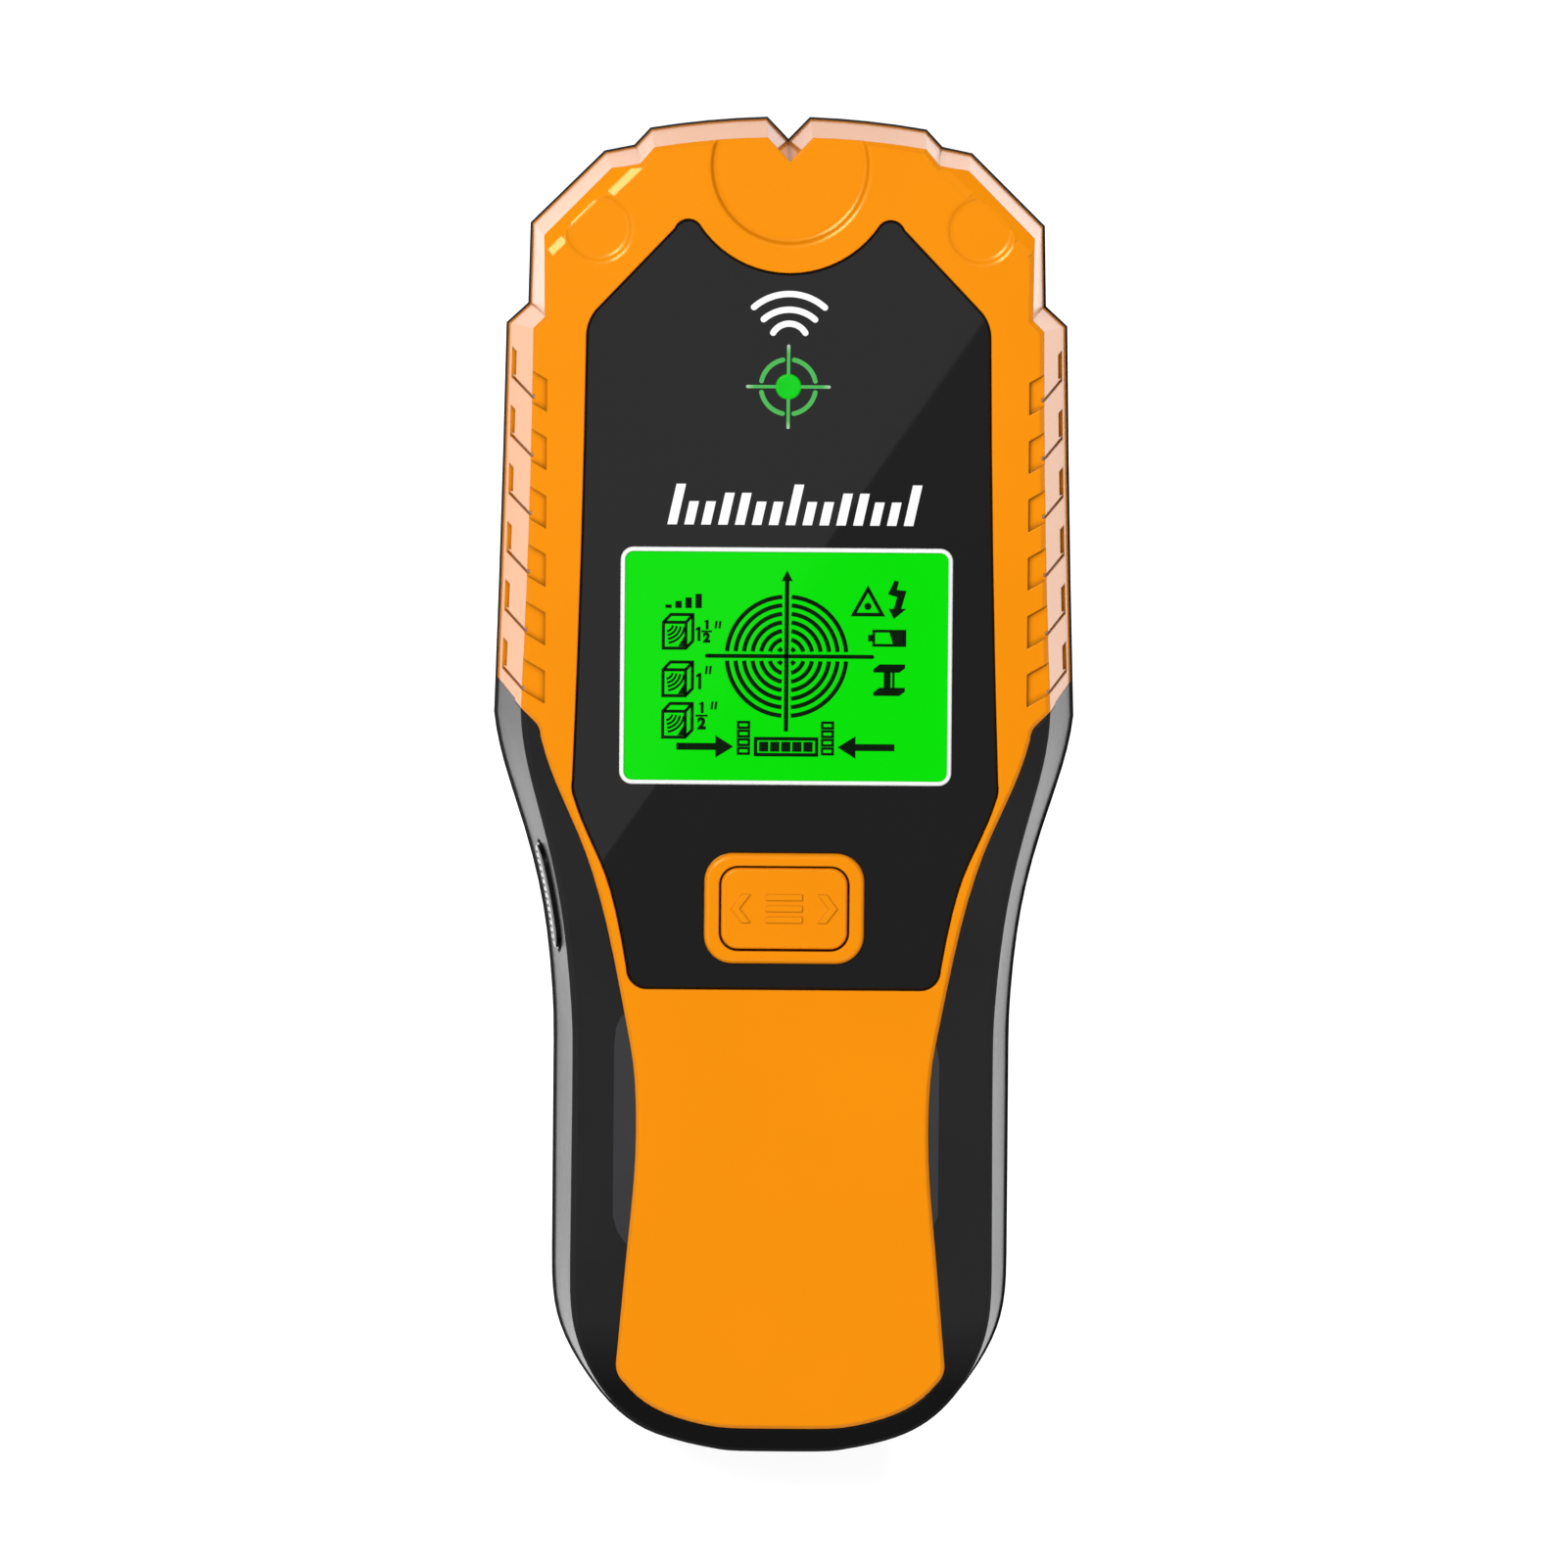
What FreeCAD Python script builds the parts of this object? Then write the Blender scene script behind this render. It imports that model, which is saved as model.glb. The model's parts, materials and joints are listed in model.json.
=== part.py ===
import FreeCAD, Part
import math
import os

# Hand-held stud finder, lying on its back. Millimetres. +Z points out of the front face, +Y towards
# the V notch, X across. The origin is under the middle of the object, on the surface it lies on.

V = FreeCAD.Vector

# ---------------------------------------------------------------- heights
PAD_THICK = 0.8
PARTING_Z = 13.5
FACE_Z = 28.0
GRIP_FACE_Z = 27.4
PANEL_Z = 27.75
PANEL_THICK = 1.25
HEAD_CEILING_Z = 24.8
HANDLE_CEILING_Z = 24.2
REAR_FLOOR_Z = 2.9
BOARD_Z = 17.0
BOARD_THICK = 1.6
BOARD_TOP = BOARD_Z + BOARD_THICK
SENSOR_BOARD_Z = 4.4
SENSOR_BOARD_THICK = 1.2

# ---------------------------------------------------------------- walls and gaps
REVEAL = 0.25          # the rear shell stands this far outside the front shell
EDGE_BEVEL = 0.5
PLATEAU_BEVEL = 0.4
GRIP_THICK = 1.7
HEAD_WALL = 2.2
HANDLE_WALL = 2.0
REAR_WALL = 2.2
PANEL_GAP = 0.1
PANEL_BEVEL = 0.2
DOOR_GAP = 0.2
BEYOND = 90.0          # farther out than any surface of the case
# rear shell from the parting down, outside and inside: (how far inside the outline, height)
REAR_OUTSIDE = [(0.5, 8.5), (1.3, 4.4), (2.3, 2.0), (3.8, PAD_THICK)]
REAR_INSIDE = [(REAR_WALL, PARTING_Z), (3.4, 5.5), (5.8, REAR_FLOOR_Z)]
GLIDE_PADS = [((7, 26, 3.4), 22, 30), ((4.4, 22, 2.1), 18.6, -38)]    # size, x, y

# ---------------------------------------------------------------- outlines
# Each outline is its right half, from the top centre line clockwise to the bottom centre line. A
# stretch is (kind, points, first direction, last direction); a direction of None is left free.
DOWN = (0, -1)
LEFT = (-1, 0)

PARTING_OUTLINE = [
    ("start", [(0, 74.9)], None, None),
    ("line", [(2.45, 77.45)], None, None),
    ("arc", [(9.3, 77.0), (16.0, 76.1)], None, None),
    ("line", [(17.85, 74.1)], None, None),
    ("line", [(21.3, 73.4)], None, None),
    ("line", [(29.8, 65.0)], None, None),
    ("line", [(30.0, 55.7)], None, None),
    ("line", [(32.5, 53.4)], None, None),
    ("curve", [(33.05, 27.4), (33.6, 8.2)], None, None),
    ("curve", [(33.0, 4.7), (30.55, -3.4), (27.55, -15.3), (26.5, -25.5), (26.4, -36)], None, DOWN),
    ("line", [(26.4, -54.4)], None, None),
    ("curve", [(25.55, -62.4), (21.7, -69.5), (14.9, -75.4), (8.0, -77.15), (0, -77.45)], DOWN, LEFT),
]

FACE_OUTLINE = [
    ("start", [(0, 72.9)], None, None),
    ("line", [(2.6, 75.7)], None, None),
    ("arc", [(9.2, 75.35), (15.7, 74.5)], None, None),
    ("line", [(17.3, 72.6)], None, None),
    ("line", [(20.6, 72.0)], None, None),
    ("line", [(28.3, 64.2)], None, None),
    ("line", [(28.2, 54.8)], None, None),
    ("line", [(29.5, 53.5)], None, None),
    ("curve", [(29.9, 28.4), (30.6, 9.4)], None, None),
    ("curve", [(30.1, 4.6), (28.3, -2.6), (25.6, -14.6), (24.45, -25.5), (24.3, -36)], None, DOWN),
    ("line", [(24.4, -55.2)], None, None),
    ("curve", [(23.8, -62.6), (20.8, -69.1), (14.4, -74.4), (7.8, -76.15), (0, -76.5)], DOWN, LEFT),
]

# the orange front of the handle, which the grip runs round
HEAD_END_Y = 16
GRIP_START = [(12.7, 10.5), (9.4, 30.0)]    # (y, z) of two points on the slanted line
PLATEAU_OUTLINE = [
    ("start", [(0, HEAD_END_Y)], None, None),
    ("line", [(33.0, HEAD_END_Y)], None, None),
    ("line", [(33.0, 12.0)], None, None),
    ("line", [(28.85, 7.85)], None, None),
    ("arc", [(28.5, 7.3), (28.3, 6.35)], None, None),
    ("curve", [(26.55, 1.1), (23.75, -5.2), (20.5, -15.4), (18.0, -27.5), (16.9, -39.5)], None, DOWN),
    ("curve", [(17.85, -53.2), (19.0, -66.2)], DOWN, None),
    ("arc", [(18.8, -67.5), (18.1, -68.5)], None, None),
    ("curve", [(14.3, -71.6), (9.2, -73.3), (0, -73.8)], None, LEFT),
]

PANEL_OUTLINE = [
    ("start", [(0, 60.1)], None, None),
    ("arc", [(5.9, 61.6), (10.4, 65.75)], None, None),
    ("arc", [(11.9, 66.3), (13.3, 65.2)], None, None),
    ("line", [(21.9, 56.15)], None, None),
    ("arc", [(23.0, 54.6), (23.4, 52.8)], None, None),
    ("curve", [(23.8, 28.4), (24.63, 1.3)], None, None),
    ("arc", [(24.68, 0.2), (24.4, -0.9)], None, None),
    ("curve", [(22.8, -5.0), (20.8, -9.5), (19.4, -14.3), (18.2, -20.5)], None, None),
    ("arc", [(17.4, -22.3), (15.9, -22.9)], None, None),
    ("line", [(0, -22.9)], None, None),
]

BOARD_OUTLINE = [
    ("start", [(0, 66)], None, None),
    ("line", [(17, 66)], None, None),
    ("line", [(17, 54)], None, None),
    ("line", [(24.5, 50)], None, None),
    ("line", [(24.5, 6)], None, None),
    ("line", [(19.8, -2)], None, None),
    ("line", [(19.8, -16.9)], None, None),
    ("line", [(0, -16.9)], None, None),
]

SENSOR_BOARD_OUTLINE = BOARD_OUTLINE[:4] + [
    ("line", [(24.5, 4)], None, None),
    ("line", [(0, 4)], None, None),
]

# ---------------------------------------------------------------- crown and side ribs
CROWN_DISH = (0, 72.5, 9.5, 0.6)   # x, y, radius, depth
SIDE_DISH = (22.1, 65.15, 4.2, 0.3)
DISH_RIM = 0.95                    # width of the sloping rim
DISH_EASE = (0.3, 0.06)            # width and drop of the gentle slopes above and below the rim
FACET_FOOT = (27.75, 62.3)         # inner line of the sloping facet on each shoulder of the crown
FACET_HEAD = (17.4, 72.5)
FACET_REACH = 6.0                  # how far out the facet is cut, past the edge of the crown
FACET_FALL = 0.5                   # drop per millimetre outwards
EASE_FALL = 0.2                    # the same for the gentler strip that leads into the facet
EASE_SET_IN = 0.16                 # how far inside the facet's inner line the strip starts
END_SET_IN = 0.55                  # the same for the strip's broad ends
END_LENGTHS = (2.4, 4.8)           # of the broad ends, at the foot and at the head
RIB_COUNT = 6
RIB_PITCH = 6.75
RIB_GROOVE_DEPTH = 0.45
RIB_POCKET_DEPTH = 0.55
# the top rib: a low bar and a slanted groove in the wall as (y, z), a pocket in the face as (x, y)
RIB_BAR = [(50.7, 15.9), (50.3, 18.4), (47.55, 18.4), (47.55, 15.9)]
RIB_GROOVE = [(47.6, 15.9), (45.65, 28.5), (45.2, 28.5), (47.15, 15.9)]
RIB_POCKET = [(31.5, 49.7), (27.85, 47.6), (27.85, 43.85), (31.5, 46.0)]

# ---------------------------------------------------------------- display
LCD_Y = 14.6
LCD_FRAME = (38.4, 27.5, 1.5)      # width, height, corner radius
LCD_GLASS = (37.4, 26.5, 1.0)
LCD_GUIDE = (36.0, 22.4, 1.0)
LCD_GUIDE_LOW = 23.4
CONTACT_STRIP = (34.0, 1.4)        # length, width
CONTACT_STRIP_REACH = 12.0         # from the middle of the display
LCD_FRAME_Z = (25.0, 27.95)
LCD_GLASS_Z = (25.8, 27.5)
TARGET_Y = 46.95
TARGET_R = 1.46
TARGET_Z = (21.6, 27.85)
TARGET_FLANGE_R = 2.6
LAMP_BASE = (1.9, 0.6)             # radius, height
LAMP_BULB = (1.5, 0.7)

# ---------------------------------------------------------------- mode key
KEY_Y = -13.4
COLLAR = (18.5, 12.8, 3.3)
COLLAR_HOLE = (15.1, 9.9, 2.2)
COLLAR_Z = 28.9
COLLAR_ROUND = 0.6
KEY = (14.6, 9.4, 1.95)
KEY_Z = 28.7
KEY_ROUND = 0.35
KEY_FLANGE = (16.6, 11.4, 2.6)
KEY_FLANGE_Z = (23.2, 24.0)
KEY_STEM_R = 2.0
KEY_RELIEF = 0.25
KEY_BAR = (4.2, 0.7, 1.3)          # length, width, pitch
KEY_ARROW = [(3.9, 1.65), (4.9, 1.65), (6.15, 0), (4.9, -1.65), (3.9, -1.65), (5.15, 0)]
MODE_SWITCH_TOP = 21.7
MODE_PLUNGER_Z = (20.9, 22.6)
MODE_PLUNGER_R = 1.7
MODE_SWITCH_FLOOR = 20.1
SWITCH_SIDE = 6.2
PLUNGER_GAP = 0.1

# ---------------------------------------------------------------- side button, in the left wall
SIDE_BUTTON_AT = V(-26.85, -12.6, 20.5)
SIDE_BUTTON_TURN = 11.7            # degrees from +X to the way the button is pressed
SIDE_BUTTON = (12.6, 5.0)          # length, height
SIDE_BUTTON_PROUD = 0.35
SIDE_BUTTON_BEVEL = 0.25
SIDE_RIDGES = (14, 0.8, 0.35)      # number of grooves, pitch, width
SIDE_RIDGE_DEPTH = 0.25
SIDE_HOLE = (13.4, 5.8)
SIDE_FLANGE = (14.8, 6.6)
SIDE_FLANGE_POCKET = (15.6, 7.2)
SIDE_FLANGE_DEPTH = (4.0, 5.0)
SIDE_STEM_R = 1.4
SIDE_PLUNGER_DEPTH = (6.2, 8.3)
SIDE_PLUNGER_R = 1.2
SIDE_SWITCH_DEPTH = (7.3, 11.3)
SIDE_SWITCH_WIDTH = 7.0
SIDE_SWITCH_TOP = 22.4

# ---------------------------------------------------------------- battery, its door and its leads
BATTERY = (26.5, 46.5, 17.5)
BATTERY_END_Y = -70.5
BATTERY_Z = 3.3
BATTERY_EDGE_R = 2.2
TERMINALS = [(6.35, 2.9), (-6.35, 3.9)]     # x, radius
TERMINAL_LENGTH = 2.5
SNAP = (26.0, 3.4, 12.5)
FOAM = (22.0, -62.0, -34.0)                 # width, first and last Y
BAY_HALF = 13.7
BAY_TOP_Y = -21.5
BAY_RAIL = 1.9
BAY_RAIL_TOP = 10.0
DOOR_HALF = 13.6
DOOR_TONGUE = 1.2
DOOR_TOP_Y = -21.7
DOOR_Z = (0.8, 2.75)
TONGUE_Z = 1.95
GRIP_GROOVES = (5, -31.5, 2.2)              # number, first Y, pitch
GRIP_GROOVE = (16.0, 1.0, 0.5)              # length of the first, width, depth
LEAD_R = 0.65
LEAD_X = 3.5
LEAD_Z = 11.0
LEAD_RUN = 5.0
LEAD_BEND = 4.5

# ---------------------------------------------------------------- screws
CASE_SCREWS = [(22, 57.5), (-22, 57.5), (18.9, -60), (-18.9, -60)]
SCREW_R = 1.4
SCREW_HEAD_R = 2.6
SCREW_HEAD_Z = (2.3, 4.1)
SCREW_TIP_Z = 20.0
SCREW_CROSS = (3.2, 0.6, 0.9)      # length, width and depth of the recess in the head
FRONT_BOSS_R = 3.0
REAR_BOSS_R = 3.6
BOARD_POSTS = [(21.5, 10), (-21.5, 10), (14, 61), (-14, 61)]
POST_R = 2.4
BOARD_SCREW_R = 0.95
BOARD_HOLE_R = 1.1
BOARD_SCREW_HEAD = (1.9, 1.3)      # radius, height
BOARD_SCREW_CROSS = (2.2, 0.4, 0.6)
BOARD_SCREW_LENGTH = 6.0

# ---------------------------------------------------------------- what the boards carry
PLATE_THICK = 0.3
CHIP_LIFT = 0.1                    # the gap between a chip's body and its board
LEG_WIDTH = 0.4
LEG_THICK = 0.5
MAIN_CHIP_AT = (0, 30)
MAIN_CHIP = (10.0, 1.3, 12.0)      # side, thickness, span over the legs
MAIN_CHIP_LEGS = (8, 1.2)          # on each side, pitch
SMALL_CHIPS_AT = [(13.5, 11), (-7, 14), (13, 30)]
SMALL_CHIP = (4.0, 5.0, 1.5, 6.0)  # width, length, thickness, span over the legs
SMALL_CHIP_LEGS = (4, 1.27)
CAPACITORS_AT = [(12, 41), (-12, 41), (16, 19)]
CAPACITOR = (2.5, 6.5)             # radius, height
CRYSTAL_AT = (-13, 25)
CRYSTAL = (11.0, 4.6, 2.2)
CRYSTAL_FOOT = (11.6, 5.2, 2.5)
CRYSTAL_HEIGHT = 3.4
CRYSTAL_FOOT_HEIGHT = 0.5
BUZZER_Y = 57
BUZZER = (6.0, 5.0)                # radius, height
BUZZER_HOLE = (1.1, 1.0)           # radius, depth
HEADER_PINS = (8, 2.54)            # number, pitch
HEADER_Y = 6.45
HEADER_BASE = (20.32, 2.5)         # length; width and height
PIN_WIDTH = 0.64
COIL_AT = V(0, 50, 10.0)
COIL_CORE = (24.0, 2.2)            # length, radius
COIL = (14.0, 4.2)


# ================================================================ geometry helpers
def outline_points(outline):
    return [point for stretch in outline for point in stretch[1]]


def inset(outline, distance):
    """The same outline with every point moved inwards, square to its two neighbours."""
    points = outline_points(outline)
    before = [(-points[1][0], points[1][1])] + points[:-1]
    after = points[1:] + [(-points[-2][0], points[-2][1])]
    moved = []
    for (ax, ay), (x, y), (bx, by) in zip(before, points, after):
        first = V(y - ay, -(x - ax), 0).normalize()
        second = V(by - y, -(bx - x), 0).normalize()
        middle = (first + second).normalize()
        step = distance / middle.dot(first)
        moved.append((x + middle.x * step, y + middle.y * step))
    result = []
    for kind, stretch, start, end in outline:
        result.append((kind, moved[:len(stretch)], start, end))
        moved = moved[len(stretch):]
    return result


def smooth_curve(points, start, end):
    tangents = [V(0, 0, 0) for _ in points]
    flags = [False for _ in points]
    if start:
        tangents[0] = V(start[0], start[1], 0)
        flags[0] = True
    if end:
        tangents[-1] = V(end[0], end[1], 0)
        flags[-1] = True
    curve = Part.BSplineCurve()
    if any(flags):
        curve.interpolate(Points=points, Tangents=tangents, TangentFlags=flags)
    else:
        curve.interpolate(Points=points)
    return curve.toShape()


def half_edges(outline, side, z):
    """Edges of one half of an outline; side is 1 for the right half and -1 for the left."""
    edges = []
    here = None
    for kind, stretch, start, end in outline:
        points = [V(side * x, y, z) for x, y in stretch]
        if kind == "line":
            edges.append(Part.LineSegment(here, points[0]).toShape())
        if kind == "arc":
            edges.append(Part.Arc(here, points[0], points[1]).toShape())
        if kind == "curve":
            first = start and (side * start[0], start[1])
            last = end and (side * end[0], end[1])
            edges.append(smooth_curve([here] + points, first, last))
        here = points[-1]
    return edges


def outline_wire(outline, z):
    return Part.Wire(half_edges(outline, 1, z) + half_edges(outline, -1, z)[::-1])


def stack(sections):
    """A solid through (outline, height) sections, joined by straight sides."""
    wires = [outline_wire(outline, z) for outline, z in sections]
    return Part.makeLoft(wires, True, True)


def prism(outline, z0, z1):
    return Part.Face(outline_wire(outline, z0)).extrude(V(0, 0, z1 - z0))


def block(x0, x1, y0, y1, z0, z1):
    return Part.makeBox(x1 - x0, y1 - y0, z1 - z0, V(x0, y0, z0))


def post(x, y, r, z0, z1):
    return Part.makeCylinder(r, z1 - z0, V(x, y, z0))


def polygon_prism(points, direction):
    return Part.Face(Part.makePolygon(points + points[:1])).extrude(direction)


def rounded_block(size, x, y, z0, z1):
    width, height, radius = size
    shape = block(x - width / 2, x + width / 2, y - height / 2, y + height / 2, z0, z1)
    upright = [e for e in shape.Edges if abs(e.Vertexes[0].Z - e.Vertexes[-1].Z) > (z1 - z0) / 2]
    return shape.makeFillet(radius, upright)


def soften_top(shape, radius):
    top = shape.BoundBox.ZMax
    edges = [e for e in shape.Edges if e.BoundBox.ZMin > top - 1e-4]
    return shape.makeFillet(radius, edges)


def both_sides(shapes):
    return shapes + [s.mirror(V(0, 0, 0), V(1, 0, 0)) for s in shapes]


def fuse(shapes):
    return shapes[0].multiFuse(shapes[1:])


# ================================================================ the case
def front_body(extra):
    """The front half of the case, extra millimetres inside its true surface."""
    sections = [(inset(PARTING_OUTLINE, REVEAL + extra), PARTING_Z)]
    if extra:
        sections.append((inset(FACE_OUTLINE, extra), FACE_Z))
    else:
        sections.append((FACE_OUTLINE, FACE_Z - EDGE_BEVEL))
        sections.append((inset(FACE_OUTLINE, EDGE_BEVEL), FACE_Z))
    return stack(sections)


def head_region():
    """Everything above the slanted line where the grip begins."""
    (low_y, low_z), (high_y, high_z) = GRIP_START
    corners = [(low_y, low_z), (high_y, high_z), (BEYOND, high_z), (BEYOND, low_z)]
    return polygon_prism([V(-BEYOND, y, z) for y, z in corners], V(2 * BEYOND, 0, 0))


def case_bosses():
    return [post(x, y, FRONT_BOSS_R, PARTING_Z, HEAD_CEILING_Z) for x, y in CASE_SCREWS]


def front_cavity():
    handle = stack([
        (inset(PARTING_OUTLINE, REVEAL + GRIP_THICK + HANDLE_WALL), PARTING_Z),
        (inset(FACE_OUTLINE, GRIP_THICK + HANDLE_WALL), HANDLE_CEILING_Z),
    ])
    head = stack([
        (inset(PARTING_OUTLINE, REVEAL + HEAD_WALL), PARTING_Z),
        (inset(FACE_OUTLINE, HEAD_WALL), HEAD_CEILING_Z),
    ]).common(block(-BEYOND, BEYOND, HEAD_END_Y, BEYOND, PARTING_Z, FACE_Z))
    return [handle, head]


def rib_cutters(body):
    """Side pockets and slanted grooves of the ribs, as deep as the outer skin of the wall."""
    skin = body.cut(front_body(RIB_GROOVE_DEPTH))
    shapes = []
    for i in range(RIB_COUNT):
        for corners in (RIB_BAR, RIB_GROOVE):
            points = [V(27, y - i * RIB_PITCH, z) for y, z in corners]
            shapes.append(polygon_prism(points, V(10, 0, 0)))
    cutters = [shape.common(skin) for shape in both_sides(shapes)]
    pockets = []
    for i in range(RIB_COUNT):
        points = [V(x, y - i * RIB_PITCH, FACE_Z - RIB_POCKET_DEPTH) for x, y in RIB_POCKET]
        pockets.append(polygon_prism(points, V(0, 0, 2)))
    return cutters + both_sides(pockets)


def dish(x, y, radius, depth):
    """Cutter for a round recess whose steep rim has a gentle slope above it and below it."""
    wide, drop = DISH_EASE
    floor_radius, floor_z = radius - DISH_RIM, FACE_Z - depth
    rings = [
        (floor_radius, floor_z),
        (floor_radius + wide, floor_z + drop),
        (radius - wide, FACE_Z - drop),
        (radius + wide, FACE_Z + drop),
    ]
    cones = []
    for (low_r, low_z), (high_r, high_z) in zip(rings, rings[1:]):
        cones.append(Part.makeCone(low_r, high_r, high_z - low_z, V(x, y, low_z)))
    return fuse(cones)


def falling_cutter(foot, head, set_in, fall):
    """Cutter above a plane that falls away outwards from a line set in from foot and head."""
    along = head - foot
    out = V(along.y, -along.x, 0).normalize()
    start = foot - out * set_in
    reach = out * FACET_REACH
    corners = [start, start + reach + V(0, 0, -fall * FACET_REACH), start + reach + V(0, 0, 3)]
    return polygon_prism(corners, along)


def shoulder_facet():
    """Cutter for the sloping facet between a side dish and the edge of the crown. A gentle strip
    leads into it from the face, and another from the floor of the dish."""
    foot, head = V(*FACET_FOOT, FACE_Z), V(*FACET_HEAD, FACE_Z)
    along = (head - foot).normalize()
    foot_end, head_end = [along * length for length in END_LENGTHS]
    x, y, radius, depth = SIDE_DISH
    floor_set_in = depth / EASE_FALL - depth / FACET_FALL + EASE_SET_IN
    floor_disc = post(x, y, radius - DISH_RIM, FACE_Z - FACET_REACH, FACE_Z)
    return fuse([
        falling_cutter(foot, head, 0, FACET_FALL),
        falling_cutter(foot, head, EASE_SET_IN, EASE_FALL),
        falling_cutter(foot, foot + foot_end, END_SET_IN, EASE_FALL),
        falling_cutter(head - head_end, head, END_SET_IN, EASE_FALL),
        falling_cutter(foot, head, floor_set_in, EASE_FALL).common(floor_disc),
    ])


def side_place(shape):
    """Moves a shape from the side button's own axes (x inwards, y along the wall) into the case."""
    moved = shape.copy()
    moved.rotate(V(0, 0, 0), V(0, 0, 1), SIDE_BUTTON_TURN)
    moved.translate(SIDE_BUTTON_AT)
    return moved


def side_oval(size, depth0, depth1):
    """A long rounded bar through the wall, in the side button's own axes."""
    length, height = size
    radius = height / 2
    reach = length / 2 - radius
    ends = [V(depth0, -reach, -radius), V(depth0, reach, -radius),
            V(depth0, reach, radius), V(depth0, -reach, radius)]
    edges = [
        Part.LineSegment(ends[0], ends[1]).toShape(),
        Part.Arc(ends[1], V(depth0, length / 2, 0), ends[2]).toShape(),
        Part.LineSegment(ends[2], ends[3]).toShape(),
        Part.Arc(ends[3], V(depth0, -length / 2, 0), ends[0]).toShape(),
    ]
    return Part.Face(Part.Wire(edges)).extrude(V(depth1 - depth0, 0, 0))


def side_hole():
    return side_place(side_oval(SIDE_HOLE, -3, 6))


def front_shell():
    body = front_body(0)
    head = body.common(head_region())
    core = stack([
        (inset(PARTING_OUTLINE, REVEAL + GRIP_THICK), PARTING_Z),
        (inset(FACE_OUTLINE, GRIP_THICK), GRIP_FACE_Z - GRIP_THICK),
    ]).common(block(-BEYOND, BEYOND, -BEYOND, HEAD_END_Y, PARTING_Z, FACE_Z))
    plateau = stack([
        (PLATEAU_OUTLINE, GRIP_FACE_Z - 2 * GRIP_THICK),
        (PLATEAU_OUTLINE, FACE_Z - PLATEAU_BEVEL),
        (inset(PLATEAU_OUTLINE, PLATEAU_BEVEL), FACE_Z),
    ]).common(body)
    shell = fuse([head, core, plateau])
    shell = shell.cut(front_cavity())
    shell = fuse([shell] + case_bosses())
    openings = [
        prism(PANEL_OUTLINE, PANEL_Z - PANEL_THICK, FACE_Z + 1),
        rounded_block(LCD_FRAME, 0, LCD_Y, HANDLE_CEILING_Z - 1, FACE_Z),
        post(0, TARGET_Y, TARGET_R + PANEL_GAP, HANDLE_CEILING_Z, FACE_Z),
        dish(*CROWN_DISH),
        side_hole(),
        side_place(side_oval(SIDE_FLANGE_POCKET, SIDE_FLANGE_DEPTH[0], SIDE_SWITCH_DEPTH[0])),
    ]
    openings += both_sides([dish(*SIDE_DISH), shoulder_facet()])
    openings += [post(x, y, SCREW_R, PARTING_Z - 1, SCREW_TIP_Z) for x, y in CASE_SCREWS]
    openings += rib_cutters(body)
    shell = shell.cut(openings)
    collar = soften_top(rounded_block(COLLAR, 0, KEY_Y, HANDLE_CEILING_Z, COLLAR_Z), COLLAR_ROUND)
    hole = rounded_block(COLLAR_HOLE, 0, KEY_Y, HANDLE_CEILING_Z - 1, COLLAR_Z + 1)
    return fuse([shell, collar]).cut(hole)


def grip_overmold():
    """Rubber over the sides and the lower end of the handle, round the orange plateau."""
    skin = stack([
        (inset(PARTING_OUTLINE, REVEAL), PARTING_Z),
        (FACE_OUTLINE, GRIP_FACE_Z - EDGE_BEVEL),
        (inset(FACE_OUTLINE, EDGE_BEVEL), GRIP_FACE_Z),
    ])
    core = stack([
        (inset(PARTING_OUTLINE, REVEAL + GRIP_THICK), PARTING_Z),
        (inset(FACE_OUTLINE, GRIP_THICK), GRIP_FACE_Z - GRIP_THICK),
    ])
    plateau = prism(PLATEAU_OUTLINE, GRIP_FACE_Z - 2 * GRIP_THICK, FACE_Z)
    return skin.cut([head_region(), core, plateau, side_hole()])


def rear_body():
    below = [(inset(PARTING_OUTLINE, distance), z) for distance, z in REAR_OUTSIDE]
    return stack([(PARTING_OUTLINE, PARTING_Z)] + below)


def rear_shell():
    body = rear_body()
    cavity = [(inset(PARTING_OUTLINE, distance), z) for distance, z in REAR_INSIDE]
    shell = body.cut(stack(cavity))
    inside = [post(x, y, REAR_BOSS_R, PAD_THICK, PARTING_Z) for x, y in CASE_SCREWS]
    inside += [post(x, y, POST_R, PAD_THICK, SENSOR_BOARD_Z) for x, y in BOARD_POSTS]
    rail = BAY_HALF + BAY_RAIL
    inside.append(block(-rail, rail, BATTERY_END_Y - 3.5, BAY_TOP_Y, PAD_THICK, BAY_RAIL_TOP))
    shell = fuse([shell] + [piece.common(body) for piece in inside])
    wide = DOOR_HALF + DOOR_GAP
    wider = wide + DOOR_TONGUE
    cuts = [
        block(-BAY_HALF, BAY_HALF, BATTERY_END_Y - 0.5, BAY_TOP_Y, 0, PARTING_Z + 1),
        block(-wide, wide, -BEYOND, DOOR_TOP_Y + DOOR_GAP, 0, DOOR_Z[1] + DOOR_GAP),
        block(-wider, wider, -BEYOND, DOOR_TOP_Y - 0.6, TONGUE_Z - DOOR_GAP, DOOR_Z[1] + DOOR_GAP),
    ]
    for x, y in CASE_SCREWS:
        cuts.append(post(x, y, SCREW_HEAD_R + 0.2, 0, SCREW_HEAD_Z[1]))
        cuts.append(post(x, y, SCREW_R + 0.1, 0, PARTING_Z + 1))
    return shell.cut(cuts)


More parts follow.
